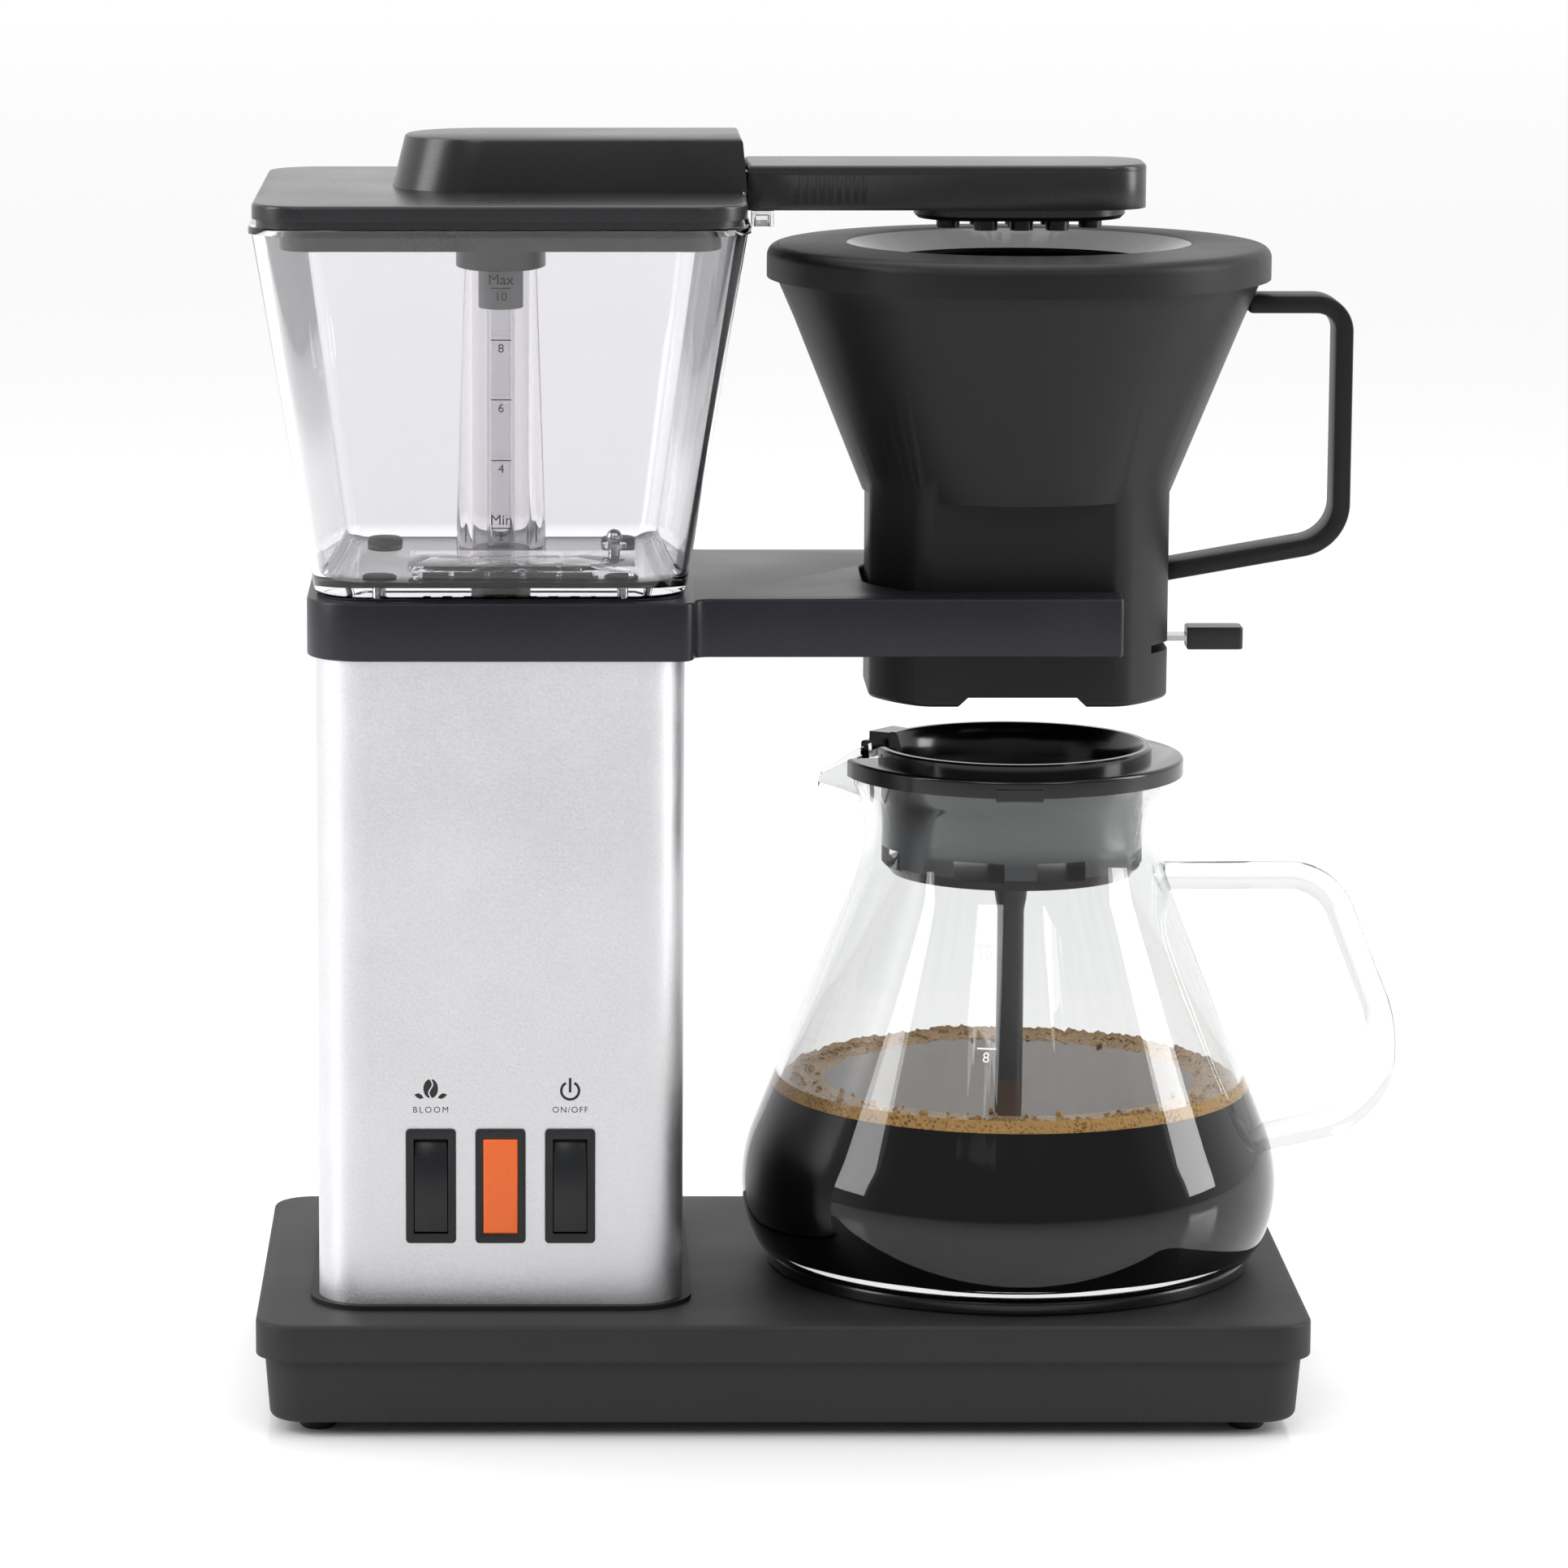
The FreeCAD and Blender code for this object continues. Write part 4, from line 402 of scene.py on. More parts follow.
def smooth_copy(node: str, name: str, width: float = mm(0.3)) -> bpy.types.Object:
    """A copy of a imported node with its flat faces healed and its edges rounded.

    Args:
        node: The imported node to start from.
        name: The new piece's name.
        width: How far its edges are rounded, or 0 to leave them sharp.

    Returns:
        The new object.
    """
    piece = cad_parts[node].copy()
    piece.data = piece.data.copy()
    piece.parent = None
    piece.name = name
    for key in list(piece.keys()):
        del piece[key]
    bpy.context.scene.collection.objects.link(piece)
    with editing(piece):
        bpy.ops.mesh.customdata_custom_splitnormals_clear()
        bpy.ops.mesh.select_all(action="SELECT")
        bpy.ops.mesh.remove_doubles(threshold=mm(0.002))
        bpy.ops.mesh.dissolve_limited(angle_limit=math.radians(0.5))
    if width:
        soften(piece, width, 2)
    return piece


def surface_hit(node: str, start: Point3, aim: Point3) -> tuple[Vector, Vector]:
    """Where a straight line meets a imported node.

    Args:
        node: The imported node.
        start: Where the line starts.
        aim: The way it runs.

    Returns:
        The first point it meets, and the surface's normal there.
    """
    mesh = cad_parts[node].data
    tree = BVHTree.FromPolygons([v.co for v in mesh.vertices], [tuple(p.vertices) for p in mesh.polygons])
    point, normal, _, _ = tree.ray_cast(Vector(start), Vector(aim))
    if point is None:
        raise ValueError(f"no surface of {node} lies that way")
    return point, normal


def front_of(node: str, x: float, z: float) -> tuple[Vector, Vector]:
    """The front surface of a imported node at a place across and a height.

    Args:
        node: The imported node.
        x: The place across.
        z: The height.

    Returns:
        The point on the surface, and the surface's normal there.
    """
    return surface_hit(node, (x, -1.0, z), (0.0, 1.0, 0.0))


def stamp(piece: bpy.types.Object, spot: tuple[Vector, Vector], shift: Point2 = (0.0, 0.0),
          lift: float = mm(0.02)) -> bpy.types.Object:
    """Lays a flat piece, drawn about the origin, on a surface with its own Y upwards.

    Args:
        piece: The flat piece.
        spot: The point and normal of the surface.
        shift: How far it is moved along the surface first, across and up.
        lift: How far it stands off the surface.

    Returns:
        The same object.
    """
    point, normal = spot
    turn = normal.to_track_quat("Z", "Y")
    focus(piece)
    piece.rotation_mode = "QUATERNION"
    piece.rotation_quaternion = turn
    piece.location = point + normal * lift + turn @ Vector((shift[0], shift[1], 0.0))
    bpy.ops.object.transform_apply(location=True, rotation=True, scale=False)
    piece.rotation_mode = "XYZ"
    return piece


def lettering(text: str, cap_height: float, spacing: float = 1.0,
              depth: float = mm(0.02)) -> bpy.types.Object:
    """Printed letters or figures as a thin mesh about the origin.

    Args:
        text: What is printed.
        cap_height: The height of a capital.
        spacing: Space from letter to letter, where 1 is normal.
        depth: Half the thickness of the print.

    Returns:
        The new object.
    """
    bpy.ops.object.text_add()
    piece = bpy.context.object
    piece.data.body = text
    piece.data.size = cap_height / CAPITAL_SHARE
    piece.data.space_character = spacing
    piece.data.align_x = "CENTER"
    piece.data.align_y = "CENTER"
    piece.data.resolution_u = 4
    piece.data.extrude = depth
    bpy.ops.object.convert(target="MESH")
    return bpy.context.object


def dash(width: float, height: float, depth: float = mm(0.02)) -> bpy.types.Object:
    """A short printed line about the origin.

    Args:
        width: Its length.
        height: Its height.
        depth: Half the thickness of the print.

    Returns:
        The new object.
    """
    return block("dash", (-width / 2, -height / 2, -depth), (width / 2, height / 2, depth))


# Finishes.

Start = tuple[bpy.types.Material, bpy.types.NodeTree, bpy.types.Node, bpy.types.Node]


def linear(code: str) -> tuple[float, float, float, float]:
    """An sRGB hex colour as linear RGBA.

    Args:
        code: The colour, as a hash and six hex digits.

    Returns:
        Red, green and blue, and an alpha of 1.
    """
    parts = [int(code[i:i + 2], 16) / 255.0 for i in (1, 3, 5)]
    return tuple(c / 12.92 if c <= 0.04045 else ((c + 0.055) / 1.055) ** 2.4 for c in parts) + (1.0,)


def add_node(tree: bpy.types.NodeTree, kind: str, inputs: Optional[dict] = None,
             **settings: Union[str, bool, float]) -> bpy.types.Node:
    """Adds one node.

    Args:
        tree: The node tree.
        kind: The node's type.
        inputs: Input name or number to a constant, or to an output socket that is linked to it.
        **settings: The node's own settings.

    Returns:
        The new node.
    """
    node = tree.nodes.new(kind)
    for name, value in settings.items():
        setattr(node, name, value)
    for name, value in (inputs or {}).items():
        socket = node.inputs[name]
        if isinstance(value, bpy.types.NodeSocket):
            tree.links.new(value, socket)
        else:
            socket.default_value = value
    return node


def shader_start(name: str) -> Start:
    """A new material with its tree, its principled shader and an object-coordinate node.

    Args:
        name: The material's name.

    Returns:
        The material, its node tree, its principled shader and the coordinate node.
    """
    material = bpy.data.materials.new(name)
    material.use_nodes = True
    tree = material.node_tree
    shader = tree.nodes["Principled BSDF"]
    place = add_node(tree, "ShaderNodeTexCoord")
    return material, tree, shader, place


def set_sockets(shader: bpy.types.Node, **values: Union[float, tuple[float, ...]]) -> None:
    """Sets constants on a shader's own sockets. Underscores stand for spaces.

    Args:
        shader: The shader node.
        **values: Socket names to constants.
    """
    for name, value in values.items():
        shader.inputs[name.replace("_", " ")].default_value = value


@dataclass(frozen=True)
class Moulded:
    """A moulded or coated surface: one colour with a fine grain in height, tone and gloss.

    The grain is what a spark-eroded mould or a powder coat leaves. Where it is finer than the eye can see
    at this distance, it is drawn as coarse as it needs to be to show.
    """

    name: str
    colour: str
    roughness: float
    grain_mm: float = 0.5
    depth_mm: float = 0.02
    tone: float = 0.10
    gloss_spread: float = 0.06
    metallic: float = 0.0
    ior: float = 1.5
    transmission: float = 0.0
    specular: float = 0.5

    def build(self) -> bpy.types.Material:
        """The finish as a material.

        Returns:
            The new material.
        """
        material, tree, shader, place = shader_start(self.name)
        set_sockets(shader, Metallic=self.metallic, IOR=self.ior,
                    Transmission_Weight=self.transmission,
                    Specular_IOR_Level=self.specular)
        fine = add_node(tree, "ShaderNodeTexNoise",
                        {"Vector": place.outputs["Object"], "Scale": 1.0 / mm(self.grain_mm), "Detail": 2.0})
        broad = add_node(tree, "ShaderNodeTexNoise",
                         {"Vector": place.outputs["Object"], "Scale": 1.0 / mm(38.0), "Detail": 3.0})
        mixed = add_node(tree, "ShaderNodeMath", {0: fine.outputs["Fac"], 1: broad.outputs["Fac"]})
        base = linear(self.colour)
        light = tuple(min(1.0, c * (1 + self.tone)) for c in base[:3]) + (1.0,)
        dark = tuple(c * (1 - self.tone) for c in base[:3]) + (1.0,)
        ramp = add_node(tree, "ShaderNodeMapRange",
                        {"Value": mixed.outputs[0], "From Min": 0.7, "From Max": 1.3})
        blend = add_node(tree, "ShaderNodeMix", {"Factor": ramp.outputs[0], "A": dark, "B": light},
                         data_type="RGBA")
        tree.links.new(blend.outputs["Result"], shader.inputs["Base Color"])
        gloss = add_node(tree, "ShaderNodeMapRange",
                         {"Value": mixed.outputs[0], "From Min": 0.6, "From Max": 1.4,
                          "To Min": max(0.0, self.roughness - self.gloss_spread),
                          "To Max": self.roughness + self.gloss_spread})
        tree.links.new(gloss.outputs[0], shader.inputs["Roughness"])
        bump = add_node(tree, "ShaderNodeBump",
                        {"Height": fine.outputs["Fac"], "Strength": 0.6, "Distance": mm(self.depth_mm)})
        tree.links.new(bump.outputs[0], shader.inputs["Normal"])
        return material


@dataclass(frozen=True)
class Clear:
    """A clear solid, such as a SAN tank or blown borosilicate glass, with slow waves in its surface."""

    name: str
    colour: str
    ior: float
    roughness: float = 0.0
    wave_mm: float = 30.0
    wave_depth_mm: float = 0.02
    specular: float = 0.5

    def build(self) -> bpy.types.Material:
        """The finish as a material.

        Returns:
            The new material.
        """
        material, tree, shader, place = shader_start(self.name)
        set_sockets(shader, Base_Color=linear(self.colour), IOR=self.ior, Roughness=self.roughness,
                    Transmission_Weight=1.0, Specular_IOR_Level=self.specular)
        wave = add_node(tree, "ShaderNodeTexNoise",
                        {"Vector": place.outputs["Object"], "Scale": 1.0 / mm(self.wave_mm), "Detail": 1.0})
        bump = add_node(tree, "ShaderNodeBump",
                        {"Height": wave.outputs["Fac"], "Strength": 0.5, "Distance": mm(self.wave_depth_mm)})
        tree.links.new(bump.outputs[0], shader.inputs["Normal"])
        return material


@dataclass(frozen=True)
class LidPlastic:
    """Polished black polypropylene, painted lighter grey below a height as painted reflection of the glass
    round it.
    """

    name: str
    top_colour: str
    low_colour: str
    change_height: float

    def build(self) -> bpy.types.Material:
        """The finish as a material.

        Returns:
            The new material.
        """
        material, tree, shader, place = shader_start(self.name)
        set_sockets(shader, Roughness=0.16, IOR=1.49)
        split = add_node(tree, "ShaderNodeSeparateXYZ", {0: place.outputs["Object"]})
        step = add_node(tree, "ShaderNodeMapRange",
                        {"Value": split.outputs["Z"], "From Min": self.change_height - mm(1),
                         "From Max": self.change_height + mm(1)})
        # Below change_height the black gives way to a lighter grey: painted reflection where the lid is seen
        # through the glass.
        blend = add_node(tree, "ShaderNodeMix",
                         {"Factor": step.outputs[0], "A": linear(self.low_colour),
                          "B": linear(self.top_colour)},
                         data_type="RGBA")
        tree.links.new(blend.outputs["Result"], shader.inputs["Base Color"])
        flow = add_node(tree, "ShaderNodeTexNoise",
                        {"Vector": place.outputs["Object"], "Scale": 1.0 / mm(9.0), "Detail": 2.0})
        bump = add_node(tree, "ShaderNodeBump",
                        {"Height": flow.outputs["Fac"], "Strength": 0.3, "Distance": mm(0.05)})
        tree.links.new(bump.outputs[0], shader.inputs["Normal"])
        return material


@dataclass(frozen=True)
class Crema:
    """Golden foam on coffee, pale where the bubbles are and brown between them."""

    name: str
    bubble_mm: float = 1.1

    def build(self) -> bpy.types.Material:
        """The finish as a material.

        Returns:
            The new material.
        """
        material, tree, shader, place = shader_start(self.name)
        set_sockets(shader, Roughness=0.25, IOR=1.33)
        bubbles = add_node(tree, "ShaderNodeTexVoronoi",
                           {"Vector": place.outputs["Object"], "Scale": 1.0 / mm(self.bubble_mm)})
        patches = add_node(tree, "ShaderNodeTexNoise",
                           {"Vector": place.outputs["Object"], "Scale": 1.0 / mm(7.0), "Detail": 4.0})
        amount = add_node(tree, "ShaderNodeMath", {0: bubbles.outputs["Distance"], 1: patches.outputs["Fac"]})
        ramp = add_node(tree, "ShaderNodeValToRGB", {"Fac": amount.outputs[0]})
        ramp.color_ramp.elements[0].position = 0.5
        ramp.color_ramp.elements[0].color = linear("#7a4f1f")
        ramp.color_ramp.elements[1].position = 1.0
        ramp.color_ramp.elements[1].color = linear("#d3a45c")
        tree.links.new(ramp.outputs["Color"], shader.inputs["Base Color"])
        bump = add_node(tree, "ShaderNodeBump",
                        {"Height": bubbles.outputs["Distance"], "Strength": 0.7, "Distance": mm(0.4)})
        tree.links.new(bump.outputs[0], shader.inputs["Normal"])
        return material


class Finishes:
    """Every finish of the machine, made once and shared."""

    def __init__(self) -> None:
        """Builds all materials."""
        recipes = [
            # ABS from a spark-eroded mould: dark, dry and evenly grained.
            Moulded("abs_charcoal_textured", "#2c2c2d", 0.55, grain_mm=0.7, depth_mm=0.03, specular=0.25),
            # Powder-coated aluminium casting: a bluish satin with a fine fleck and broad soft highlights.
            Moulded("powder_coated_casting", "#1d1e24", 0.36, grain_mm=0.6, depth_mm=0.012, tone=0.2,
                    specular=0.3),
            # Satin ABS of the tank lid and spray arm: almost black, with long highlights.
            Moulded("abs_satin_black", "#1d1d20", 0.3, grain_mm=0.5, depth_mm=0.008, specular=0.5),
            # Polypropylene of the filter basket: matt and slightly waxy.
            Moulded("polypropylene_matt_black", "#141415", 0.44, grain_mm=0.5, depth_mm=0.012, specular=0.25),
            # The polished funnel of the basket lid: black plastic, coloured grey as painted sheen.
            Moulded("polypropylene_funnel_painted_sheen", "#48494c", 0.12, grain_mm=2.0, depth_mm=0.01, tone=0.04),
            # Polished nylon of bezels and rockers.
            Moulded("nylon_rocker_black", "#1b1c1e", 0.3, grain_mm=1.2, depth_mm=0.01, specular=0.3),
            # Bead-blasted and clear-anodised aluminium: a pale metal with a fine sparkle.
            Moulded("aluminium_bead_blasted", "#dbdbde", 0.42, grain_mm=0.75, depth_mm=0.06, tone=0.07,
                    gloss_spread=0.10, metallic=1.0),
            # Drawn aluminium inside the machine.
            Moulded("aluminium_plain", "#c9cacc", 0.35, grain_mm=0.8, metallic=1.0),
            # Stainless steel strip and screws.
            Moulded("stainless_steel", "#b9bbbd", 0.24, grain_mm=0.8, depth_mm=0.02, metallic=1.0),
            # Brass tabs of the switches.
            Moulded("brass_tab", "#b99a55", 0.3, grain_mm=0.8, metallic=1.0),
            # Non-stick coat of the hotplate: smooth and dark.
            Moulded("hotplate_nonstick", "#101011", 0.2, grain_mm=1.2, depth_mm=0.01),
            # Moulded rubber of feet, gland, plugs and seals.
            Moulded("rubber_black", "#101011", 0.6, grain_mm=0.9, depth_mm=0.03, specular=0.35),
            # Milky silicone of hoses and seals.
            Moulded("silicone_milky", "#b4b4b2", 0.45, grain_mm=1.5, ior=1.41, transmission=0.5),
            # Filled nylon of the blocks and valve inside.
            Moulded("nylon_dark_grey", "#3b3c3e", 0.5, grain_mm=0.8),
            # The insulated wires.
            Moulded("pvc_wire", "#4a2417", 0.45, grain_mm=1.0),
            # Orange polycarbonate of the lamp lens.
            Moulded("polycarbonate_orange", "#e8651b", 0.32, grain_mm=2.5, depth_mm=0.003, tone=0.02,
                    ior=1.58, specular=0.4),
            # Printed ink, black and white.
            Moulded("ink_black", "#161616", 0.5, grain_mm=0.6, depth_mm=0.003, tone=0.03),
            Moulded("ink_white", "#f4f4f4", 0.5, grain_mm=0.6, depth_mm=0.003, tone=0.02),
            # Brewed coffee: near black, as smooth as water.
            Moulded("coffee_liquid", "#040201", 0.04, grain_mm=60.0, depth_mm=0.0, gloss_spread=0.01,
                    ior=1.34, specular=0.1),
            # The open top of the coffee: a brown film that mirrors the light of the room.
            Moulded("coffee_film", "#5a3a22", 0.08, grain_mm=9.0, depth_mm=0.05, tone=0.25, ior=1.34),
            # The mixing tube seen through glass.
            Moulded("polypropylene_stem_grey", "#3a3b3d", 0.4, grain_mm=1.0),
            # Clear SAN of the tank.
            Clear("san_clear", "#f1f0f2", 1.45, 0.01, specular=0.07),
            # Blown borosilicate glass, clear but for a faint grey where it is thick.
            Clear("borosilicate_glass", "#edeeee", 1.47, specular=0.25),
            Crema("coffee_crema"),
            # The carafe lid: black on top, lighter grey below 178 mm as painted reflection of the glass round
            # it.
            LidPlastic("polypropylene_lid_black", "#0a0a0b", "#4b4c4f", mm(178)),
        ]
        self.by_name = {recipe.name: recipe.build() for recipe in recipes}

    def dress(self, piece: bpy.types.Object, name: str) -> None:
        """Gives a piece one finish all over.

        Args:
            piece: The object to dress.
            name: The finish's name.
        """
        piece.data.materials.clear()
        piece.data.materials.append(self.by_name[name])

    def dress_node(self, node: str, name: str) -> None:
        """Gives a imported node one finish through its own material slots.

        Args:
            node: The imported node.
            name: The finish's name.
        """
        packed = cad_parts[node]
        for slot in packed.material_slots:
            slot.material = self.by_name[name]


@dataclass
class Assembly:
    """What all sub-assemblies share: the finishes and the way a piece is handed over."""

    finishes: Finishes
    body: str = "root"

    def hand_over(self, piece: bpy.types.Object, finish: str, slot: str, nodes: Sequence[str] = (),
                  body: Optional[str] = None, angle: float = 35.0) -> bpy.types.Object:
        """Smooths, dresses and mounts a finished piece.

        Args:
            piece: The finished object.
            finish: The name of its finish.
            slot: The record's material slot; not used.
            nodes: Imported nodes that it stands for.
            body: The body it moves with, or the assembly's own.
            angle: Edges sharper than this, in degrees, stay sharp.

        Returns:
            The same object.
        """
        focus(piece)
        bpy.ops.object.shade_smooth_by_angle(angle=math.radians(angle))
        self.finishes.dress(piece, finish)
        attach(piece, body or self.body)
        if nodes:
            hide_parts(*nodes)
        LOG.info("%s: %d faces", piece.name, len(piece.data.polygons))
        return piece

    def paint_part(self, piece: bpy.types.Object, finish: str, test: Callable[[Vector], bool]) -> None:
        """Gives the faces whose middle passes a test a second finish.

        Args:
            piece: The finished object.
            finish: The second finish's name.
            test: Gets a face's middle.
        """
        piece.data.materials.append(self.finishes.by_name[finish])
        index = len(piece.data.materials) - 1
        for face in piece.data.polygons:
            if test(face.center):
                face.material_index = index

    def keep(self, finish: str, nodes: Sequence[str]) -> None:
        """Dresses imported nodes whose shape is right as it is.

        Args:
            finish: The finish's name.
            nodes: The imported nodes.
        """
        for node in nodes:
            self.finishes.dress_node(node, finish)
            LOG.info("%s: packed shape kept", node)


def middle_of(node: str) -> Point2:
    """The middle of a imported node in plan.

    Args:
        node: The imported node.

    Returns:
        Its middle, across and front to back.
    """
    low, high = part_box(node)
    return (low.x + high.x) / 2, (low.y + high.y) / 2


@dataclass
class Base(Assembly):
    """The tub, the plate over it, feet and the hotplate."""

    corner: float = mm(12)
    skirt: float = mm(10.6)
    skirt_wall: float = mm(1.7)
    plate_wall: float = mm(2.4)
    tub_wall: float = mm(2.5)
    tub_taper: float = mm(2.0)
    plate_radius: float = mm(70.4)
    opening: float = mm(60.1)

    def build(self) -> None:
        """Builds and dresses the base."""
        self.make_plate()
        self.make_tub()
        self.make_feet()
        self.make_hotplate()
        self.keep("rubber_black", ["cord_gland", "hotplate_seal", "column_gasket"])
        self.keep("stainless_steel", ["base_screws", "hotplate_clamp"])
        self.keep("nylon_dark_grey", ["terminal_block"])
        self.keep("aluminium_plain", ["hotplate_heater"])

    def make_plate(self) -> None:
        """The top plate: a shallow tray turned over, open under the hotplate."""
        low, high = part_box("base_top_plate")
        middle = ((low.x + high.x) / 2, 0.0)
        half = ((high.x - low.x) / 2, high.y)
        bottom = high.z - self.skirt
        piece = slab("base_plate", middle, half, self.corner, bottom, high.z)
        with editing(piece):
            choose(piece, Kind.EDGES, at_level(high.z))
            bevel_chosen(mm(1.2), 4)
            choose(piece, Kind.FACES, lambda c, n: n.z < -0.9)
            bpy.ops.mesh.inset(thickness=self.skirt_wall)
            pull((0, 0, self.skirt - self.plate_wall))
            choose(piece, Kind.EDGES, at_level(bottom))
            bevel_chosen(mm(0.3), 2)
        x, y = middle_of("hotplate")
        above = high.z + mm(5)
        profile = [(0, bottom), (self.opening, bottom), (self.opening, above), (0, above)]
        cutter = turned("plate_opening", (x, y), profile, 96)
        subtract(piece, cutter)
        self.hand_over(piece, "abs_charcoal_textured", "charcoal_plastic", ["base_top_plate"])

    def make_tub(self) -> None:
        """The tub under the plate, drawn in towards its round bottom edge."""
        low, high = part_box("base_tray")
        middle = ((low.x + high.x) / 2, 0.0)
        half = ((high.x - low.x) / 2, high.y)
        piece = slab("base_tub", middle, half, self.corner - self.skirt_wall, low.z, high.z)
        factors = tuple((h - self.tub_taper) / h for h in half)
        with editing(piece):
            choose(piece, Kind.VERTS, lambda c: c.z < low.z + mm(1))
            scale_about((middle[0], 0, low.z), (factors[0], factors[1], 1))
            choose(piece, Kind.EDGES, at_level(low.z))
            bevel_chosen(mm(2.2), 5)
            choose(piece, Kind.FACES, lambda c, n: n.z > 0.9)
            bpy.ops.mesh.inset(thickness=self.tub_wall)
            pull((0, 0, low.z + self.tub_wall - high.z))
        self.hand_over(piece, "abs_charcoal_textured", "charcoal_plastic", ["base_tray"])

    def make_feet(self) -> None:
        """Four round rubber feet with a hollow sole."""
        low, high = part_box("rubber_feet")
        radius, height = mm(5.2), mm(4.0)
        profile = [(0, mm(1)), (radius - mm(2), mm(1)), (radius - mm(1.6), 0), (radius - mm(0.7), 0)]
        profile += [(radius, mm(0.7)), (radius, height), (mm(2.3), height), (mm(2.3), high.z), (0, high.z)]
        spots = [(x, y) for x in (low.x + radius, high.x - radius) for y in (low.y + radius, high.y - radius)]
        feet = [turned("rubber_foot_set", spot, profile, 48) for spot in spots]
        self.hand_over(merged("rubber_foot_set", feet), "rubber_black", "rubber", ["rubber_feet"])

    def make_hotplate(self) -> None:
        """The pressed plate with its rolled edge and a shallow ring pressed into its top."""
        low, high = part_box("hotplate")
        top, edge, wall = high.z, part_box("hotplate_seal")[1].z, mm(1.4)
        reach, skirt = self.plate_radius, mm(59.5)
        bend = mm(1.8)
        profile = [(0, top - mm(0.35)), (mm(52), top - mm(0.35)), (mm(53.5), top - mm(0.05)), (mm(60), top)]
        profile += arc((reach - bend, top - bend), bend, 90, 0, 6)
        profile += [(reach, edge + mm(0.3)), (reach - mm(0.3), edge), (skirt, edge), (skirt, low.z)]
        profile += [(skirt - wall, low.z), (skirt - wall, top - wall), (0, top - wall)]
        piece = turned("hotplate_disc", middle_of("hotplate"), profile)
        self.hand_over(piece, "hotplate_nonstick", "hotplate_coating", ["hotplate"])


